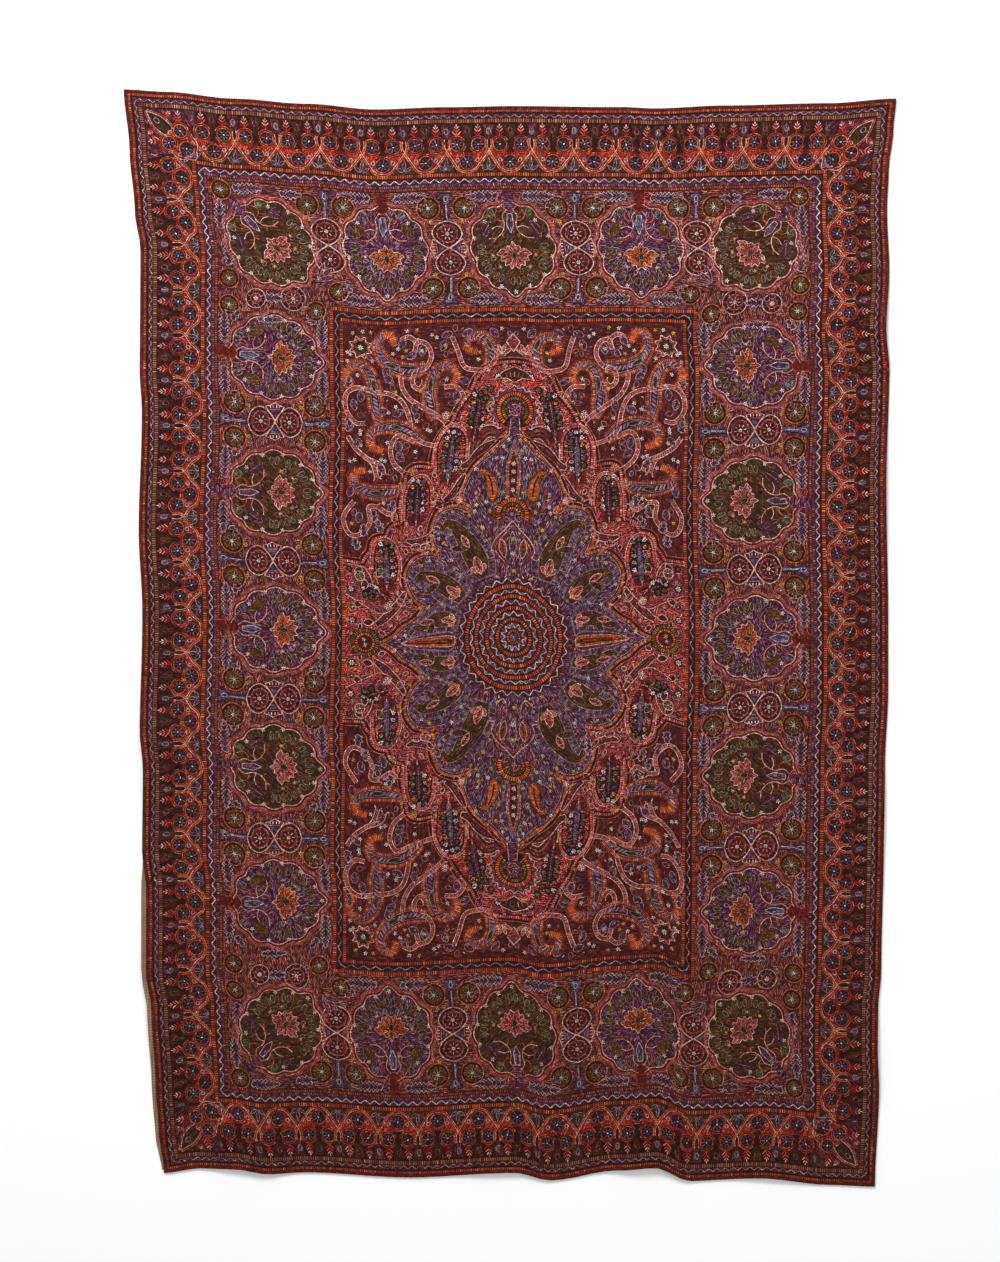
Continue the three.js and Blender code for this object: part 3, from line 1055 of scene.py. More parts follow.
VINES = [
    [(172, 509), (166, 526), (150, 521), (143, 500), (154, 480), (172, 474), (177, 455), (166, 443),
     (157, 454)],
    [(196, 486), (196, 453), (183, 428), (158, 410), (136, 396), (121, 383)],
    [(260, 384), (278, 383), (294, 404), (292, 432), (272, 445), (243, 440), (217, 437), (196, 423),
     (185, 397), (179, 367), (161, 350), (138, 343)],
    [(174, 352), (203, 364), (216, 342), (210, 316), (191, 298)],
    [(106, 533), (97, 509), (88, 481), (70, 474), (46, 476), (24, 505)],
    [(122, 445), (101, 445), (88, 428), (96, 417)],
    [(291, 358), (277, 338), (260, 325), (246, 314), (238, 290)],
    [(276, 247), (294, 217), (286, 190), (268, 187), (248, 211), (251, 238), (234, 239)],
    [(260, 324), (232, 312), (226, 296)],
    [(231, 236), (214, 226), (206, 238)],
    [(196, 530), (182, 536), (170, 528)],
]
# Leaves by place and turn
LEAVES = [
    (198, 516, 30), (186, 498, 60), (125, 508, 20), (124, 533, 70), (88, 534, 60), (26, 530, -40),
    (160, 500, 10), (210, 456, -50), (226, 466, 20), (176, 400, 10), (104, 420, 20),
    (78, 450, -60), (268, 420, 5), (278, 404, -10), (212, 398, 60), (200, 334, -10),
    (192, 318, -40), (286, 252, 15), (226, 298, -30), (269, 208, 10), (14, 498, -60),
    (281, 340, 40), (160, 424, 50), (92, 402, 80), (284, 376, -30), (240, 404, 80), (66, 452, 20),
]
SPANDREL_FLORETS = [
    (248, 544), (184, 546), (141, 537), (159, 510), (187, 512), (262, 505), (262, 446), (207, 414),
    (163, 440), (118, 458), (171, 388), (220, 404), (82, 436), (19, 545), (17, 480), (270, 364),
    (108, 398), (152, 372), (268, 345), (222, 352), (196, 280), (232, 322), (290, 490), (284, 502),
    (206, 440), (124, 366), (250, 300), (62, 492), (118, 518), (225, 246), (278, 318), (246, 494),
]
BLUE_PATCHES = [(290, 452), (290, 376), (214, 240), (240, 222), (258, 196), (268, 172), (228, 206)]


def sprinkle(quarters, low, high, count, on_wool, motifs):
    """Strews small motifs over what is left of one wool, the same in every quarter."""
    code = WOOL_NAMES.index(on_wool) + 1
    placed = []
    for _ in range(count * 12):
        x, y = rng.uniform(low[0], high[0]), rng.uniform(low[1], high[1])
        probe = quarters[0].map([(x, y), (x - 5, y), (x + 5, y), (x, y - 5), (x, y + 5)])
        rows, columns = cell_of(probe)
        near = any(math.hypot(x - a, y - b) < 11 for a, b in placed)
        if near or (canvas[rows, columns] != code).any():
            continue
        placed.append((x, y))
        if len(placed) >= count:
            break
    for x, y in placed:
        pick, turn = rng.integers(len(motifs)), rng.uniform(0, 360)
        for quarter in quarters:
            motifs[pick](quarter.at(x, y, turn=turn))


def speck(wool):
    return lambda spot: stitches(spot, (0, 0), 0, 5, wool, width=2.2, rise=1.5)


def small_oval(wool, inside=None):
    return lambda spot: ringlet(spot, 7, 11, wool, inside)


def star_flower(wool):
    return lambda spot: floret(spot, 4.2, 5, wool)


def small_leaf(rim):
    return lambda spot: leaf(spot.at(0, -6), 14, 9, "plum", rim)


def ring_flower(wool):
    return lambda spot: rosette(spot, 6, 6, wool, "maroon", "dark", "yellow")


def spandrel(quarter):
    for points in VINES:
        vine(quarter, points)
    for points, widths in BOTEHS:
        boteh(quarter, points, widths)
    for x, y, turn in LEAVES:
        leaf(quarter.at(x, y, turn=turn), 21, 13, "purple sheen", "lilac", "hem red")
    for x, y in BLUE_PATCHES:
        spray(quarter.at(x, y - 10, turn=rng.uniform(-25, 25)), 22, 14)
    for k, (x, y) in enumerate(SPANDREL_FLORETS):
        floret(quarter.at(x, y), 4.2, 5, "white" if k % 4 else "yellow")
    # The pink rosette in the corner and the palmette by the middle line
    star = np.array([((21 if k % 2 else 14) * math.cos(k * math.pi / 8),
                      (21 if k % 2 else 14) * math.sin(k * math.pi / 8)) for k in range(16)])
    corner = quarter.at(266, 516)
    edged(corner, star, "dark", 45, "pink")
    strokes(corner, star * 0.78, "salmon", closed=True, width=2)
    fill(corner, circle(10), "dark olive", grain=0)
    floret(corner, 5.5, 7, "white")
    for angle in (-60, -20, 20, 60):
        leaf(quarter.at(20, 500, turn=angle), 20, 6, "salmon", "pink")


# Cypresses by place, turn, height and wool
TREES = [
    (71, 356, 9, 72, "plum"), (114, 282, 5, 80, "violet sheen"),
    (168, 212, 2, 66, "plum"), (222, 100, 2, 72, "violet sheen"),
]
ARCHES = [
    [(139, 300), (139, 342), (122, 374), (98, 378), (81, 358), (80, 318)],
    [(192, 216), (190, 262), (176, 288), (154, 292), (140, 270), (138, 236)],
    [(249, 128), (243, 172), (222, 185), (204, 172), (195, 140), (200, 106)],
]
ROSE_BANDS = [
    ([(92, 316), (76, 322), (64, 350), (46, 366), (24, 362), (12, 380)], 21),
    ([(92, 304), (74, 312), (54, 334), (26, 350)], 18),
    ([(84, 292), (104, 258), (122, 246)], 13),
    ([(136, 196), (146, 182), (168, 176), (186, 180)], 13),
    ([(190, 90), (206, 66), (232, 40), (254, 26)], 14),
]


def tree(spot, wool, tall, wide=12):
    """A cypress with buds up both sides and a pale horseshoe at its foot."""
    outline = ribbon([(0, 0), (0, tall)], [wide * 0.8, wide, wide, wide * 0.9, wide * 0.7, 2])
    for reach, rim in ((1.2, "salmon"), (0.75, "pink")):
        foot = wide * reach
        fill(spot, circle(foot, foot, (0, 6)), "hem red", grain=0)
        bow = foot * 0.5
        cord(spot, arcs([(-foot, 18), (0, 6 - foot, bow), (foot, 18, bow)]), rim, width=2)
    buds = ("white", "blue", "green", "pale lilac", "yellow", "green", "lilac")
    for k, y in enumerate(np.arange(20, tall + 4, 12)):
        for side in (-1, 1):
            bud = buds[(k * 3 + (side > 0) * 2) % 7]
            place = spot.at(side * wide * 0.4, y + 1.5 * side, turn=-side * (64 - 3 * k),
                            size=1.08 - 0.04 * ((k * 5) % 4))
            leaf(place, 13, 9.5, bud, "dark")
            stitches(place, (0, 8), 90, 4, "hem red", width=1.7)
    leaf(spot.at(0, tall - 3), 14, 10, buds[round(tall) % 7], "dark")
    fill(spot, outline * (1.15, 1), "dark", grain=90)
    edged(spot, outline, wool, 30, "dark", 1.6)
    stitches(spot, [(0, y) for y in np.arange(8, tall - 6, 5)], 90, 3.4, "lilac", width=1.5)


def red_ground(quarter):
    """The red ring between the two medallions: arches, cypresses, bands and flowers."""
    dome = [(0, 483), (40, 460), (74, 428), (96, 396), (104, 352), (58, 358), (22, 384), (0, 384)]
    fill(quarter, dome, "warm ground", grain=None)
    for points, wide in ROSE_BANDS:
        path = smooth(points)
        outline = ribbon(path, [wide * 0.5, wide, wide, wide * 0.4])
        fill(quarter, outline, "dark olive", grain=60)
        fill(quarter, ribbon(path, [2, wide * 0.5, wide * 0.5, 2]), "rose", grain=60)
        cord(quarter, outline, "pink", closed=True, width=2)
        cord(quarter, path, "plum", width=1.8)
    for points in ARCHES:
        path = smooth(points)
        fill(quarter, path, "warm ground", grain=None)
        rungs(quarter, beside(path, 3), 4.6, "coral")
        cord(quarter, beside(path, 6.4), "dark", width=1.8)
        cord(quarter, beside(path, -1), "pink", width=1.9)
    # The pointed blocks beside the frame
    block = arcs([(298, 136), (262, 134), (246, 100, -4), (214, 60, -3), (240, 52, -3), (298, 84)])
    fill(quarter, block, "rose ground", grain=None)
    cord(quarter, block[:-1], "pink", width=2)
    lower = arcs([(298, 78), (262, 46, -3), (240, 26, -4), (262, 20), (298, 26)])
    fill(quarter, lower, "warm ground", grain=None)
    cord(quarter, lower, "coral", width=1.9)
    for x, y, turn, wool in (
        (104, 236, 30, "salmon"), (122, 232, -40, "rose"), (150, 176, 60, "salmon"),
        (206, 212, 0, "orange"), (178, 166, 80, "salmon"), (238, 116, 30, "salmon"),
        (196, 116, 160, "orange"), (46, 400, 20, "orange"), (20, 420, -20, "rose"),
        (92, 262, 150, "orange"), (206, 78, 130, "salmon"), (276, 118, 40, "plum"),
        (262, 92, 10, "plum"), (282, 62, 60, "maroon"), (266, 34, 80, "maroon"),
        (134, 262, 200, "orange"), (140, 200, 120, "rose"),
    ):
        leaf(quarter.at(x, y, turn=turn), 19, 12, wool, "pink", "maroon")
    for x, y, radius, wool, ground, rim in (
        (152, 165, 9, "blue", "plum", "pink"), (92, 246, 7, "white", "maroon", "orange"),
        (268, 116, 9, "grey green", "plum", "pink"),
        (232, 148, 7, "pale lilac", "maroon", "orange"),
        (284, 60, 7, "green", "dark", "coral"), (222, 66, 7, "white", "plum", "coral"),
        (176, 300, 7, "yellow", "maroon", "coral"), (120, 396, 7, "white", "plum", "coral"),
    ):
        rosette(quarter.at(x, y), radius, 7, wool, ground, rim)
    for x, y, turn in ((160, 158, 40), (144, 160, -30), (282, 98, 0), (210, 196, 20),
                       (126, 210, 60)):
        triangle(quarter.at(x, y, turn=turn), 13)
    tree(quarter.at(240, 88, turn=-72).at(0, -18), "plum", 38, 9)


def tooth_ring(spot, radius, teeth, swing, wool, start=0, end=360):
    reach = radius + swing * np.where(np.arange(2 * teeth + 1) % 2 == 0, 1, -1)
    path = reach[:, None] * unit_ways(np.linspace(start, end, 2 * teeth + 1))
    strokes(spot, path, wool, width=1.9, longest=9, rise=1.5)


def rung_ring(spot, low, high, wool, start=0, end=360, pitch=3.9):
    radius = (low + high) / 2
    way = unit_ways(np.linspace(start, end, 60))
    fill(spot, np.vstack([way * (high + 1.2), (way * (low - 1.2))[::-1]]), "dark", grain="radial")
    count = max(3, round(math.radians(end - start) * radius / pitch))
    angles = start + (np.arange(count) + 0.5) * (end - start) / count
    ways = unit_ways(angles)
    stitches(spot, ways * radius, angles, high - low, wool, width=pitch * 0.86, rise=1.5)


def crescent(spot):
    """The toothed crescent at each end of the red ring, open towards -Y."""
    fill(spot, circle(38), "red orange", grain=0)
    tooth_ring(spot, 37, 14, 3.6, "violet sheen", -50, 230)
    tooth_ring(spot, 41, 14, 3.2, "pale lilac", -48, 228)
    fill(spot, circle(33), "dark", grain=0)
    rung_ring(spot, 25, 32, "orange", -50, 230)
    rung_ring(spot, 18, 23.5, "olive", -50, 230)
    fill(spot, circle(16.5), "violet", grain="radial")
    rosette(spot, 10, 7, "lilac", "plum", "salmon", "yellow")
    fill(spot, [(-6, -12), (6, -12), (10, -46), (-10, -46)], "purple", grain=0)
    for sign in (-1, 1):
        cord(spot, [(sign * 7, -14), (sign * 10, -46)], "pink", width=1.9)


def rounded_paisley(quarter, points, widths, flower, lens):
    """A brown paisley in rings of violet stitches, with a pink flower in its round end."""
    path = smooth(points)

    def around(grow):
        return ribbon(path, [max(width + grow, 1) for width in widths])

    for grow, wide, wool in ((20, 5, "violet sheen"), (9, 5.4, "purple sheen")):
        rungs(quarter, around(grow), wide, wool, closed=True, pitch=3.6)
    for grow, wool in ((14.5, "plum"), (27, "grey green")):
        cord(quarter, around(grow), wool, closed=True, width=1.8)
    spur = quarter.at(*lens[:2], turn=lens[2] - 62)
    rungs(spur, [(-9, 8), (-8, 26), (0, 36), (8, 26), (9, 8)], 4, "purple sheen")
    fill(quarter, around(0), "bronze", grain=45)
    cord(quarter, around(2), "grey green", closed=True, width=2.1)
    leaf(spur, 34, 12, "bronze", "grey green")
    cord(quarter, around(-7), "umber", closed=True, width=2)
    leaf(quarter.at(*lens[:2], turn=lens[2]), 26, 11, "salmon", "pink", "plum")
    place = quarter.at(*flower[:2], turn=flower[2], size=flower[3])
    for sign in (-1, 1):
        leaf(place.at(0, 4, turn=sign * 50), 19, 10, "coral", "pink")
    leaf(place, 34, 15, "salmon", "pink", "hem red")


def inner_half(quarter):
    """What fills a quarter of the pointed blue medallion."""
    for points, widths, flower, lens in (
        ([(53, 108), (59, 126), (69, 152), (85, 181), (103, 202), (118, 205), (124, 190)],
         [18, 35, 38, 32, 22, 13, 6], (57, 115, -16, 1), (76, 162, -30)),
        ([(91, 72), (102, 83), (118, 97), (139, 110), (160, 116), (173, 106)],
         [17, 32, 33, 26, 16, 6], (96, 77, -50, 0.9), (130, 103, -62)),
        ([(99, 35), (110, 37), (128, 39), (150, 34), (168, 24), (178, 30)],
         [13, 23, 25, 19, 11, 5], (103, 36, -86, 0.8), (142, 37, -98)),
    ):
        rounded_paisley(quarter, points, widths, flower, lens)
    # The gold paisley beside the middle line
    path = smooth([(36, 244), (35, 256), (38, 276), (45, 291), (54, 296), (61, 290)])
    fill(quarter, ribbon(path, [11, 23, 21, 14, 10, 6]), "dark", grain=45)
    fill(quarter, ribbon(path, [6, 19, 17, 10, 6, 2]), "orange", grain=0)
    cord(quarter, ribbon(path, [7, 20, 18, 11, 7, 3]), "olive", closed=True, width=1.9)
    strokes(quarter, path[5:-12:2], "dark", width=2)
    # The lyre on the middle line
    for points, wool in (
        ([(0, 208), (12, 194), (30, 176), (38, 158), (32, 146)], "pink"),
        ([(0, 200), (10, 188), (25, 172), (31, 158), (24, 146), (12, 130), (14, 112)], "salmon"),
        ([(14, 112), (20, 104), (28, 110)], "pink"),
        ([(32, 146), (42, 142), (46, 152)], "pink"),
        ([(0, 190), (6, 172), (4, 150), (0, 138)], "lilac"),
    ):
        cord(quarter, smooth(points), wool, width=2.3)
    leaf(quarter.at(15, 142, turn=-8), 36, 13, "brown orange", "pink", "plum")
    for x, y in ((30, 318), (18, 338), (64, 258), (92, 246), (66, 226), (40, 226), (52, 196),
                 (128, 180), (146, 142), (160, 134), (182, 74), (40, 176), (20, 228), (26, 290),
                 (66, 300), (10, 350), (192, 14), (210, 12), (78, 236), (104, 226), (140, 162),
                 (128, 66), (150, 62), (176, 96), (166, 60), (92, 116), (30, 110), (0, 120)):
        floret(quarter.at(x, y), 4, 5, rng.choice(["white", "yellow", "yellow", "pale lilac"]))


def axis_motifs(half):
    """What stands on the middle line of the field, for one end."""
    crescent(half.at(0, 402))
    obelisk = [(-10, 246), (10, 246), (12, 306), (0, 350), (-12, 306)]
    fill(half, obelisk, "salmon", grain=0)
    fill(half, [(-6, 250), (6, 250), (7, 302), (0, 330), (-7, 302)], "maroon", grain=0)
    strokes(half, obelisk, "lilac", closed=True, width=2)
    strokes(half, np.array(obelisk) * (1.5, 1) + (0, 2), "blue", closed=True, width=1.9)
    for y in (262, 278, 294, 308):
        floret(half.at(0, y), 4.6, 6, "white")
    arch = half.at(0, 220)
    tooth_ring(arch, 33, 12, 2.6, "olive", -20, 200)
    rung_ring(arch, 21, 29, "orange", -22, 202)
    rung_ring(arch, 14, 19.5, "olive", -22, 202)
    rung_ring(arch, 8, 12.5, "amber", -10, 190)
    fill(arch, circle(7), "violet", grain=60)
    floret(arch, 5, 6, "lilac", "yellow")
    floret(half.at(0, 176), 5, 6, "yellow", "white")
    floret(half.at(0, 150), 5, 6, "white")
    fan = [(-35, 456), (-20, 470), (0, 478), (20, 470), (35, 456), (14, 458), (0, 450), (-14, 458)]
    edged(half, fan, "dark olive", 0, "pink", 1.9)
    for x in (-24, -14, -7, 0, 7, 14, 24):
        stitches(half, (x, 465 - abs(x) / 6), 90 - 1.6 * x, 10, "salmon", width=1.9)
    edged(half, [(-12, 522), (0, 536), (12, 522), (0, 504)], "rose", 0, "pink")


def side_motifs(side):
    """What lies on the cross line of the field, for one side: local X points outwards."""
    spear = arcs([(104, 0), (116, 10, 3), (150, 8), (200, 0, 2), (150, -8, 2), (116, -10),
                  (104, 0, 3)])
    edged(side, spear * (1, 1.7), "plum", 0, "lilac", line=cord)
    edged(side, spear, "amber", 90, "pink", 1.9, cord)
    fill(side, spear * (0.9, 0.4) + (14, 0), "dark olive", grain=0)
    strokes(side, [(118, 0), (180, 0)], "red orange", width=2, longest=6)
    rung_ring(side.at(106, 0), 10, 15, "salmon", 90, 270)
    half_moon = side.at(262, 0)
    fill(half_moon, circle(26), "brown", grain=90)
    rung_ring(half_moon, 18, 25, "olive", 0, 360)
    rung_ring(half_moon, 13, 17, "orange", 0, 360)
    fill(half_moon, circle(12), "maroon", grain=0)
    floret(half_moon.at(0, 4), 5, 6, "yellow", "white")
    floret(half_moon.at(2, -5), 4, 5, "pale lilac", "pink")


# Rings from the outside in: both radii, and the teeth of a toothed line, or none for a ladder
ROUNDEL = [
    (87, 96, 30), (78.5, 85, 0), (70, 77, 25), (62.5, 68.5, 0), (52, 61, 21), (44, 50, 0),
    (34, 42.5, 16), (26, 31.5, 0), (14, 23.5, 11),
]


def central_roundel():
    """The rings in the middle: ladders between dark lines, and toothed lines on violet."""
    middle = Spot([[1, 0], [0, 1.09]], (-3, 4))
    fill(middle, circle(97), "plum", grain="radial")
    for low, high, teeth in ROUNDEL:
        if teeth:
            tooth_ring(middle, (low + high) / 2, teeth, (high - low) / 2 - 0.6, "pale lilac")
            continue
        fill(middle, circle(high + 2.6), "dark", grain=0)
        rung_ring(middle, low, high, "fire")
        fill(middle, circle(low - 0.6), "dark", grain=0)
        fill(middle, circle(low - 2.8), "purple sheen", grain="radial")
    rung_ring(middle, 8.5, 12, "amber")
    fill(middle, circle(8), "plum", grain=0)
    floret(middle, 7.5, 8, "blue", "white")
    for angle in range(0, 360, 12):
        stitches(round_at(middle, 101, angle), (0, 0), angle, 5, "blue", width=2.2)


def field():
    quarters = [Spot([[sx, 0], [0, sy]]) for sx in (1, -1) for sy in (1, -1)]
    for quarter in quarters:
        spandrel(quarter)
    outer = arcs(OUTER_MEDALLION)
    clipped = np.minimum(outer, (296, 1000))
    fill(CLOTH, whole(clipped), "red ground", grain=None)
    for quarter in quarters:
        cord(quarter, beside(clipped[:-1], 7.5), "amber", width=2.2)
        cord(quarter, beside(clipped[:-1], 4.6), "dark", width=2)
        rungs(quarter, clipped[:-1], 4.6, "coral", pitch=3.8)
        cord(quarter, beside(clipped[:-1], -4.4), "dark", width=1.9)
    for quarter in quarters:
        red_ground(quarter)
    for quarter in quarters:
        for x, y, turn, tall, wool in TREES:
            tree(quarter.at(x, y, turn=turn), wool, tall)
    inner = arcs(INNER_MEDALLION)
    fill(CLOTH, whole(inner * 1.05), "maroon", grain=40)
    fill(CLOTH, whole(inner), "violet", grain="radial")
    for quarter in quarters:
        cord(quarter, beside(inner, -4), "lilac", width=1.8)
        rungs(quarter, beside(inner, 1), 5, "amber", pitch=3.6)
        cord(quarter, beside(inner, 5.4), "dark", width=1.9)
        cord(quarter, beside(inner, 8.6), "salmon", width=2)
    for quarter in quarters:
        inner_half(quarter)
    sprinkle(quarters, (4, 200), (298, 548), 130, "field ground",
             [speck("lilac"), speck("pink"), small_oval("lilac", "plum"), star_flower("white"),
              small_oval("salmon", "plum"), speck("salmon"), star_flower("yellow"),
              small_leaf("halo")])
    sprinkle(quarters, (4, 4), (298, 480), 190, "red ground",
             [star_flower("white"), star_flower("pink"), star_flower("blue"), speck("pale lilac"),
              small_oval("pink", "maroon"), small_leaf("pink"), star_flower("yellow"),
              small_oval("pink", "olive")])
    for ground in ("warm ground", "rose ground"):
        sprinkle(quarters, (4, 4), (298, 470), 60, ground,
                 [ring_flower("green"), ring_flower("yellow"), ring_flower("white"),
                  ring_flower("blue"), small_oval("dark", "olive"), small_oval("pink", "dark")])
    sprinkle(quarters, (4, 90), (250, 370), 40, "violet",
             [star_flower("white"), star_flower("yellow"), speck("pink"), small_oval("lilac")])
    for turn in (0, 180):
        axis_motifs(CLOTH.at(0, 0, turn=turn))
        side_motifs(CLOTH.at(0, 0, turn=turn))
    central_roundel()


# From the canvas to rows of fill stitches

# Near the end of a row no cut is made. Stitches stop short of one another, and lie a bit unevenly
KEEP_OFF = 0.35 * FILL_LENGTH
STITCH_GAP = 0.2
SHORTEST_STITCH = 1.2
ROW_WOBBLE = 0.12
ROW_LEAN = 0.06
SOWN_SCATTER = 0.55
SOWN_LEAN = 0.2

def fill_rows():
    """Cuts the rows of each heading into stitches where the wool changes."""
    reach = math.hypot(WIDTH, HEIGHT) / 2
    steps = np.arange(-reach, reach, 1.0)
    lines = np.arange(-reach, reach, ROW_PITCH)
    made = []
    for heading in range(HEADINGS):
        angle = math.radians(heading * 180 / HEADINGS)
        along = np.array([math.cos(angle), math.sin(angle)])
        across = np.array([-along[1], along[0]])
        x = lines[:, None] * across[0] + steps * along[0]
        y = lines[:, None] * across[1] + steps * along[1]
        columns = np.floor(x + WIDTH / 2).astype(np.int32)
        rows = np.floor(y + HEIGHT / 2).astype(np.int32)
        on = (columns >= 0) & (columns < WIDTH) & (rows >= 0) & (rows < HEIGHT)
        columns[~on], rows[~on] = 0, 0
        wool = np.where(on & (rows_heading[rows, columns] == heading), canvas[rows, columns], BARE)
        wool[(wool == TAKEN) | np.isin(wool, sown_codes())] = BARE
        wool[:, [0, -1]] = BARE
        flat = wool.ravel()
        changes = np.flatnonzero(np.diff(flat)) + 1
        starts, ends = changes[:-1], changes[1:]
        kinds = flat[starts]
        worked = (kinds != BARE) & (ends - starts >= SHORTEST_FILL)
        starts, ends, kinds = starts[worked], ends[worked], kinds[worked]
        line = starts // len(steps)
        low = steps[starts % len(steps)] - 0.5
        high = low + (ends - starts)
        # Stitch ends fall on a loose beat of their own in each row
        beat = rng.uniform(0, FILL_LENGTH, len(lines))[line]
        first = beat + np.ceil((low + KEEP_OFF - beat) / FILL_LENGTH) * FILL_LENGTH
        cuts = np.floor((high - KEEP_OFF - first) / FILL_LENGTH).astype(int) + 1
        cuts = np.maximum(cuts, 0)
        index = np.repeat(np.arange(len(starts)), cuts + 1)
        order = np.arange(len(index)) - np.repeat(np.cumsum(cuts + 1) - (cuts + 1), cuts + 1)
        begin = np.where(order == 0, low[index], first[index] + (order - 1) * FILL_LENGTH)
        end = np.where(order == cuts[index], high[index], first[index] + order * FILL_LENGTH)
        centre = (begin + end) / 2
        half = np.maximum(end - begin - STITCH_GAP, SHORTEST_STITCH) / 2
        offset = lines[line[index]] + rng.normal(0, ROW_WOBBLE, len(index))
        places = centre[:, None] * along + offset[:, None] * across
        lean = rng.normal(0, ROW_LEAN, len(index))
        ways = np.stack([half * (along[0] - lean * along[1]), half * (along[1] + lean * along[0])],
                        axis=1)
        rise = FILL_RISE * rng.uniform(0.75, 1.2, len(index))
        wools = kinds[index].astype(int) - 1
        made.append(stitch_table(places, ways, FILL_WIDTH, rise, wools))
    return np.vstack(made)


def sown_codes():
    return [WOOL_NAMES.index(name) + 1 for name in SOWN]


def sown_rows():
    """Loose short stitches over the sown grounds, along the grain or in slow swirls."""
    places = np.meshgrid(np.arange(-WIDTH / 2, WIDTH / 2, SOWN_PITCH),
                         np.arange(-HEIGHT / 2, HEIGHT / 2, SOWN_PITCH))
    places[0][1::2] += SOWN_PITCH / 2
    points = np.stack([axis.ravel() for axis in places], axis=1)
    points = points + rng.normal(0, SOWN_SCATTER, points.shape)
    rows, columns = cell_of(points)
    kinds, headings = canvas[rows, columns], rows_heading[rows, columns]
    sown = np.isin(kinds, sown_codes())
    points, kinds, headings = points[sown], kinds[sown], headings[sown].astype(float)
    x, y = points.T
    swirl = 1.7 * np.sin(x * 0.07 + 2 * np.sin(y * 0.045))
    swirl = swirl + 1.7 * np.cos(y * 0.08 + 2 * np.sin(x * 0.05))
    angle = np.where(headings == SWIRL, swirl, headings * math.pi / HEADINGS)
    angle = angle + rng.normal(0, SOWN_LEAN, len(angle))
    half = SOWN_LENGTH / 2 * rng.uniform(0.8, 1.15, len(angle))
    ways = np.stack([np.cos(angle), np.sin(angle)], axis=1)
    clear = np.ones(len(angle), bool)
    for sign in (-1, 1):
        rows, columns = cell_of(points + ways * half[:, None] * sign)
        clear &= canvas[rows, columns] == kinds
    half = np.where(clear, half, half * 0.5)
    rise = FILL_RISE * rng.uniform(0.9, 1.5, len(points))
    return stitch_table(points, ways * half[:, None], SOWN_WIDTH, rise, kinds.astype(int) - 1)


def line_rows():
    """The laid stitches that nothing worked later covers."""
    values = np.vstack(laid)
    rows, columns = cell_of(values[:, 0:2])
    return values[canvas[rows, columns] == TAKEN]


# Stitches become small raised strands on the cloth

def to_linear(color):
    color = np.asarray(color, float) / 255
    return np.where(color <= 0.04045, color / 12.92, ((color + 0.055) / 1.055) ** 2.4)


def thread_colors(wools):
    colors = np.empty((len(wools), 3))
    for k, name in enumerate(WOOL_NAMES):
        chosen = np.flatnonzero(wools == k)
        threads = np.array(WOOLS[name], float)
        share = threads[:, 3] / threads[:, 3].sum()
        pick = rng.choice(len(threads), len(chosen), p=share)
        colors[chosen] = to_linear(threads[pick, :3])
    shade = np.exp(rng.normal(0, SHADE_SPREAD, len(wools)))
    return np.clip(colors * shade[:, None] * WOOL_GAIN, 0, 1)


FACE_TOP = LINING_THICKNESS + CLEARANCE + FACE_THICKNESS
STITCH_SINK = 0.15
RIDGE_SHARE = 0.8
# The edge points of each strand take this share of its colour: painted shade in the gaps between
# strands
PAINTED_GAP_SHADE = 0.22
CELL_MARGIN = 0.2

# A strand is six points, as shares of its half length and half width and its rise, and two faces
STRAND = np.array(
    [(-1, -1, 0), (1, -1, 0), (1, 1, 0), (-1, 1, 0), (-RIDGE_SHARE, 0, 1), (RIDGE_SHARE, 0, 1)],
    float,
)
STRAND_FACES = np.array([(0, 1, 5, 4), (2, 3, 4, 5)])


def new_piece(name, points, faces, places, material, colors=None):
    """One mesh with a map for a bake, and with a colour for each of its points if it has any: the
    wool's, with painted shade at the strands' edges.
    """
    mesh = bpy.data.meshes.new(name)
    mesh.vertices.add(len(points))
    mesh.vertices.foreach_set("co", points.astype(np.float32).ravel())
    mesh.loops.add(faces.size)
    mesh.loops.foreach_set("vertex_index", faces.astype(np.int32).ravel())
    mesh.polygons.add(len(faces))
    mesh.polygons.foreach_set("loop_start", np.arange(0, faces.size, 4, dtype=np.int32))
    mesh.polygons.foreach_set("use_smooth", np.ones(len(faces), bool))
    if colors is not None:
        layer = mesh.color_attributes.new("wool", "FLOAT_COLOR", "POINT")
        layer.data.foreach_set("color", colors.ravel())
    layer = mesh.uv_layers.new(name="OFBake")
    layer.data.foreach_set("uv", places[faces.ravel()].astype(np.float32).ravel())
    mesh.materials.append(material)
    mesh.update(calc_edges=True)
    mesh.validate()
    piece = bpy.data.objects.new(name, mesh)
    bpy.context.collection.objects.link(piece)
    return piece


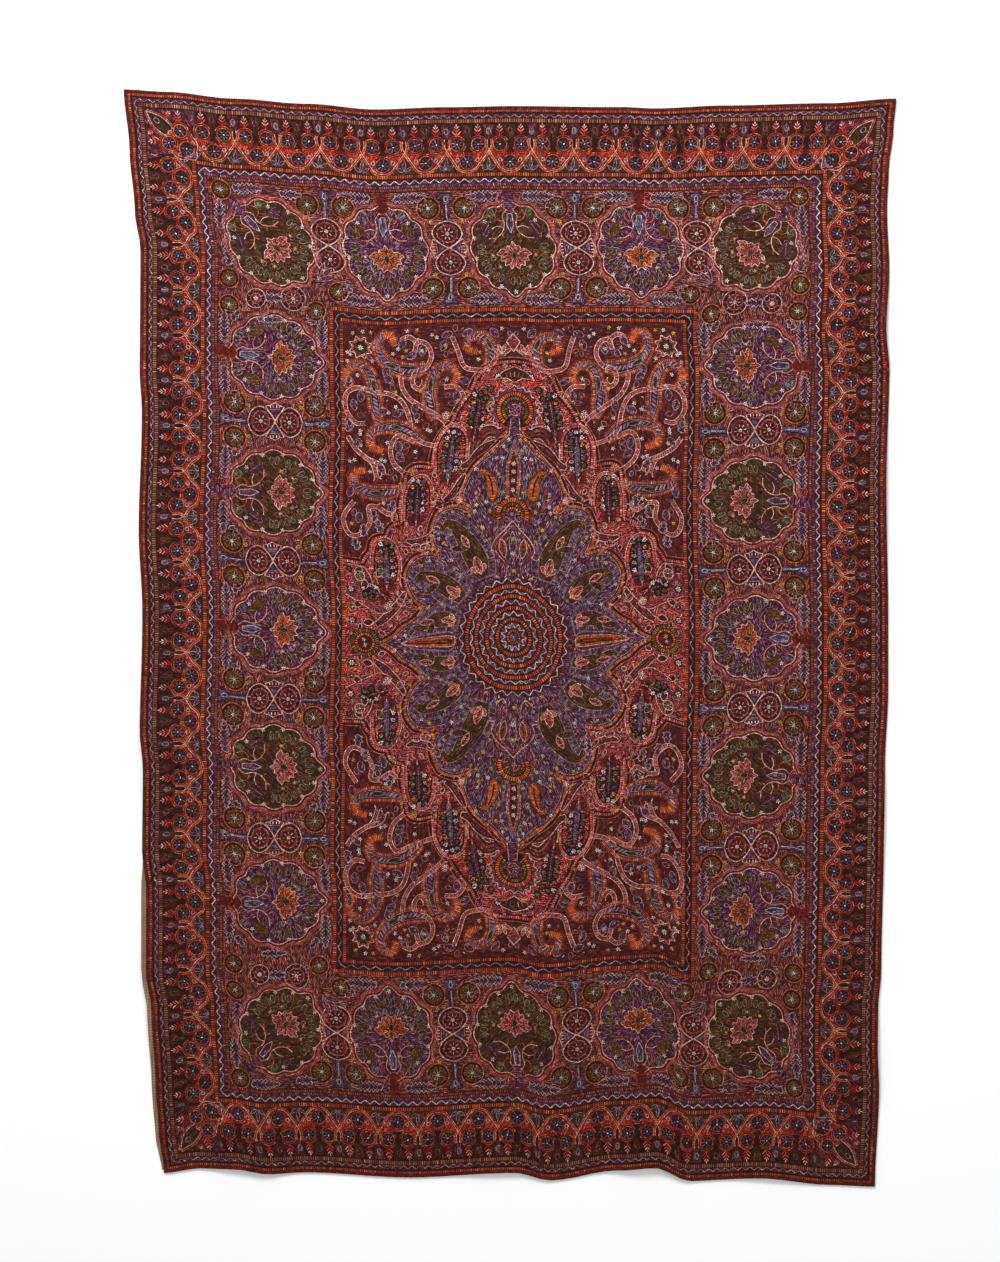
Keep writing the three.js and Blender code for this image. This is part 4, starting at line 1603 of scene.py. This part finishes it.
def strands(name, values, material):
    """One mesh of all the given stitches."""
    count = len(values)
    ways = values[:, 2:4]
    length = np.maximum(np.hypot(ways[:, 0], ways[:, 1]), 1e-6)
    sideways = np.stack([-ways[:, 1], ways[:, 0]], axis=1) / length[:, None]
    spread = sideways * (values[:, 4:5] / 2)
    flat = (
        values[:, None, 0:2]
        + ways[:, None, :] * STRAND[None, :, 0:1]
        + spread[:, None, :] * STRAND[None, :, 1:2]
    )
    limit = np.array([WIDTH / 2 - 0.5, HEIGHT / 2 - 0.5])
    flat = np.clip(flat, -limit, limit)
    x, y, under = on_cloth(flat[..., 0], flat[..., 1])
    lift = FACE_TOP - STITCH_SINK + STRAND[None, :, 2] * (values[:, 5:6] + STITCH_SINK)
    points = np.stack([x, y, under + lift], axis=-1).reshape(-1, 3) * MM
    faces = (STRAND_FACES[None] + 6 * np.arange(count)[:, None, None]).reshape(-1, 4)
    colors = np.ones((count, 6, 4), np.float32)
    # Painted shade: a strand's edge points are darker than its ridge
    shade = np.where(STRAND[:, 2] > 0, 1.0, PAINTED_GAP_SHADE)
    colors[:, :, :3] = thread_colors(values[:, 6].astype(int))[:, None, :] * shade[None, :, None]
    # Each strand has a cell of its own in the map that a bake uses
    across = math.ceil(math.sqrt(count))
    cell = np.stack([np.arange(count) % across, np.arange(count) // across], axis=1)
    corner = 0.5 + STRAND[:, :2] * (0.5 - CELL_MARGIN)
    places = (cell[:, None, :] + corner[None]) / across
    return new_piece(name, points, faces, places.reshape(-1, 2), material, colors)


# The cloth sheets under the stitches

HEM_LINES = [0, 1.5, 4, 8, 14]


def grid_lines(size, step):
    """Shares across: a few close lines over the hem, then even ones."""
    hem = np.array(HEM_LINES) / size
    inner = np.linspace(HEM_BAND / size, 1 - HEM_BAND / size, round(size / step))
    return np.concatenate([hem, inner, 1 - hem[::-1]])


def sheet_mesh(name, base, thickness, step, material, round_hem, move=None):
    """A closed sheet over the cloth's plan, as thick at its hem lines as the given shares."""
    us, vs = grid_lines(WIDTH, step), grid_lines(HEIGHT, step)
    u, v = np.meshgrid(us, vs)
    x, y = plan_point(u, v)
    if move:
        x, y = move(u, v, x, y)
    under = rise_at(u, v)
    depth = np.minimum(np.minimum(u, 1 - u) * WIDTH, np.minimum(v, 1 - v) * HEIGHT)
    swell = np.interp(depth, HEM_LINES, round_hem)
    middle = under + base + thickness / 2
    half = thickness / 2 * swell
    layers = [np.stack([x, y, middle + sign * half], axis=-1).reshape(-1, 3) for sign in (-1, 1)]
    layers[0][:, 2] = np.maximum(layers[0][:, 2], under.ravel() + base)
    points = np.vstack(layers) * MM
    columns, rows = len(us), len(vs)
    count = columns * rows
    index = np.arange(count).reshape(rows, columns)
    low, right = index[:-1, :-1], index[:-1, 1:]
    far, up = index[1:, 1:], index[1:, :-1]
    over = np.stack([low, right, far, up], axis=-1).reshape(-1, 4) + count
    below = np.stack([low, up, far, right], axis=-1).reshape(-1, 4)
    loop = np.concatenate([index[0, :-1], index[:-1, -1], index[-1, :0:-1], index[:0:-1, 0]])
    ahead = np.roll(loop, -1)
    rim = np.stack([loop, ahead, ahead + count, loop + count], axis=-1)
    faces = np.vstack([over, below, rim])
    flat = np.stack([u, v], axis=-1).reshape(-1, 2)
    places = np.vstack([flat * (0.49, 0.98) + (0.005, 0.01), flat * (0.49, 0.98) + (0.505, 0.01)])
    return new_piece(name, points, faces, places, material)


# Materials

def new_material(name):
    """A material, its shader, and two ways to set up nodes: a new one, or one that is there."""
    material = bpy.data.materials.new(name)
    material.use_nodes = True
    tree = material.node_tree

    def join(node, sources, **values):
        for key, value in values.items():
            if hasattr(node, key):
                setattr(node, key, value)
            else:
                node.inputs[key.replace("_", " ")].default_value = value
        for key, source in sources.items():
            tree.links.new(source, node.inputs[key])
        return node.outputs

    def add(kind, sources=None, **values):
        return join(tree.nodes.new("ShaderNode" + kind), sources or {}, **values)

    return material, tree.nodes["Principled BSDF"], add, join


def color_ramp(outputs, low, high, low_place=0, high_place=1):
    """Sets both ends of a ramp, and gives its colour."""
    stops = outputs[0].node.color_ramp.elements
    stops[0].color, stops[0].position = (*low, 1), low_place
    stops[1].color, stops[1].position = (*high, 1), high_place
    return outputs["Color"]


def stitch_wool():
    """Spun wool: the strand's own dye with painted shade at its edges, a tint from the lower end to
    the upper one, soft mottling and fine fibres.
    """
    material, shader, add, join = new_material("stitch_wool")
    place = add("TexCoord")["Object"]
    mottle = add("TexNoise", {"Vector": place}, Scale=900.0, Detail=3.0, Roughness=0.6)["Fac"]
    wear = add("TexNoise", {"Vector": place}, Scale=7.0, Detail=4.0, Roughness=0.55)["Fac"]
    fibre = add("TexNoise", {"Vector": place}, Scale=2600.0, Detail=2.0, Roughness=0.7)["Fac"]
    tone = add("MapRange", {"Value": mottle}, To_Min=0.72, To_Max=1.28)[0]
    fade = add("MapRange", {"Value": wear}, To_Min=0.86, To_Max=1.14)[0]
    # The tints darken and warm the wools towards the lower end
    height = add("SeparateXYZ", {"Vector": place})["Y"]
    upper = add("MapRange", {"Value": height}, From_Min=-0.95, From_Max=0.95)[0]
    tint = add("Mix", {0: upper}, data_type="RGBA")[2]
    tint.node.inputs[6].default_value = LOWER_TINT
    tint.node.inputs[7].default_value = UPPER_TINT
    # The wool attribute holds the dye together with the painted edge shade
    dye_and_painted_shade = add("Attribute", attribute_name="wool")["Color"]
    tinted = add("VectorMath", {0: dye_and_painted_shade, 1: tint}, operation="MULTIPLY")[0]
    shade = add("Math", {0: tone, 1: fade}, operation="MULTIPLY")[0]
    color = add("VectorMath", {0: tinted, "Scale": shade}, operation="SCALE")[0]
    rough = add("MapRange", {"Value": mottle}, To_Min=0.78, To_Max=0.98)[0]
    bump = add("Bump", {"Height": fibre}, Strength=0.35, Distance=0.0003)[0]
    join(shader, {"Base Color": color, "Roughness": rough, "Normal": bump},
         Specular_IOR_Level=0.06, Sheen_Weight=0.03, Sheen_Roughness=0.5)
    return material


def woven(name, light, dark, pitch, roughness, slant):
    """Cloth: two crossing sets of threads over soft mottling."""
    material, shader, add, join = new_material(name)
    place = add("TexCoord")["Object"]
    threads = []
    for angle in (slant, slant + 90):
        turn = add("Mapping", {"Vector": place}, Rotation=(0, 0, math.radians(angle)))[0]
        scale = 1 / (pitch * MM * 20)
        threads.append(add("TexWave", {"Vector": turn}, Scale=scale, Distortion=0.6)["Fac"])
    weave = add("Math", dict(enumerate(threads)), operation="MAXIMUM")[0]
    mottle = add("TexNoise", {"Vector": place}, Scale=18.0, Detail=6.0, Roughness=0.65)["Fac"]
    blend = add("Math", {0: weave, 1: mottle}, operation="MULTIPLY")[0]
    ramp = add("ValToRGB", {"Fac": blend})
    color = color_ramp(ramp, to_linear(dark), to_linear(light), 0.1, 0.65)
    rough = add("MapRange", {"Value": mottle}, To_Min=roughness - 0.08, To_Max=roughness + 0.06)[0]
    bump = add("Bump", {"Height": weave}, Strength=0.4, Distance=0.0004)[0]
    join(shader, {"Base Color": color, "Roughness": rough, "Normal": bump},
         Specular_IOR_Level=0.2, Sheen_Weight=0.1)
    return material


def floor_material():
    material, shader, add, join = new_material("floor_white")
    mottle = add("TexNoise", Scale=3.0, Detail=2.0)["Fac"]
    color = color_ramp(add("ValToRGB", {"Fac": mottle}), (0.86,) * 3, (0.89,) * 3)
    join(shader, {"Base Color": color}, Roughness=0.9, Specular_IOR_Level=0.1)
    return material


# Building

straight_bands()
scallop_border()
medallion_border()
field()
# The top hem is frayed for a short run
for _ in range(45):
    stitches(CLOTH, (rng.uniform(-62, 12), rng.uniform(929, 934.5)), rng.uniform(0, 180), 6,
             str(rng.choice(["dark", "rose", "hem red"])), width=1.8, rise=2.2)
values = np.vstack([fill_rows(), sown_rows(), line_rows()])

wool_material = stitch_wool()
side_depth = WIDTH / 2 - np.abs(values[:, 0])
end_depth = HEIGHT / 2 - np.abs(values[:, 1])
outside = (side_depth < LAYOUT["medallions"]["side"]) | (end_depth < LAYOUT["medallions"]["end"])
inside = (side_depth > LAYOUT["field"]["side"]) & (end_depth > LAYOUT["field"]["end"])
between = ~outside & ~inside
upper = values[:, 1] > 0
zones = {
    "stitches_scallops_upper": outside & upper,
    "stitches_scallops_lower": outside & ~upper,
    "stitches_medallions_upper": between & upper,
    "stitches_medallions_lower": between & ~upper,
    "stitches_field_upper": inside & upper,
    "stitches_field_lower": inside & ~upper,
}
for name, chosen in zones.items():
    piece = strands(name, values[chosen], wool_material)
    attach(piece, "root")


def slip(u, v, x, y):
    """Draws the lining in from the hem, and lets it out low on the left."""
    left = read_table(LINING_LEFT_REACH, 0, 1, y)
    band_u, band_v = HEM_BAND / WIDTH, HEM_BAND / HEIGHT
    near_left = np.clip(1 - u / band_u, 0, 1)
    near_right = np.clip(1 - (1 - u) / band_u, 0, 1)
    near_bottom = np.clip(1 - v / band_v, 0, 1)
    near_top = np.clip(1 - (1 - v) / band_v, 0, 1)
    x = x + left * near_left - LINING_INSET * near_right
    y = y + LINING_INSET * (near_bottom - near_top)
    return x, y


twill = woven("wool_twill", (66, 24, 22), (26, 9, 10), 1.2, 0.92, 45)
cotton = woven("lining_weave", (150, 118, 92), (96, 70, 54), 0.8, 0.9, 0)
face = sheet_mesh("face_sheet", LINING_THICKNESS + CLEARANCE, FACE_THICKNESS, 20, twill,
                  [0.5, 1.1, 1.25, 1.05, 1.0])
lining = sheet_mesh("lining_sheet", 0, LINING_THICKNESS, 30, cotton, [0.4, 0.9, 1.0, 1.0, 1.0],
                    slip)
for piece, node, slot in (
    (face, "face_cloth", "embroidered_wool"),
    (lining, "lining", "lining_cotton"),
):
    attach(piece, "root")
    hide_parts(node)

# The floor, the light and the camera straight above

bpy.ops.mesh.primitive_plane_add(size=12, location=(0, 0, -0.0005))
floor = bpy.context.object
floor.name = "floor"
floor.data.materials.append(floor_material())

scene = bpy.context.scene
scene.view_settings.view_transform = "Standard"
world = bpy.data.worlds.new("studio")
scene.world = world
world.use_nodes = True
world.node_tree.nodes["Background"].inputs["Color"].default_value = (1, 1, 1, 1)
world.node_tree.nodes["Background"].inputs["Strength"].default_value = 0.5


def area_light(name, place, size, power):
    light = bpy.data.lights.new(name, "AREA")
    light.shape = "SQUARE"
    light.size = size
    light.energy = power
    lamp = bpy.data.objects.new(name, light)
    lamp.location = place
    lamp.rotation_euler = (
        math.atan2(math.hypot(place[0], place[1]), place[2]),
        0,
        math.atan2(place[1], place[0]) + math.pi / 2,
    )
    bpy.context.collection.objects.link(lamp)


area_light("key", (-1.3, 3.7, 3.5), 1.8, 285)
area_light("fill", (3.0, -0.6, 4.8), 3.0, 70)

# The frame is as tall as the photo's 1262 pixels, and the cloth's middle lies right of and below
# its centre
FRAME_TALL = 2.2
LENS = 85.0
SENSOR = 36.0
FRAME_CENTRE = (-0.0174, 0.0122)
camera_data = bpy.data.cameras.new("camera")
camera_data.lens = LENS
camera_data.sensor_width = SENSOR
camera = bpy.data.objects.new("camera", camera_data)
camera.location = (*FRAME_CENTRE, FRAME_TALL * LENS / SENSOR)
bpy.context.collection.objects.link(camera)
scene.camera = camera
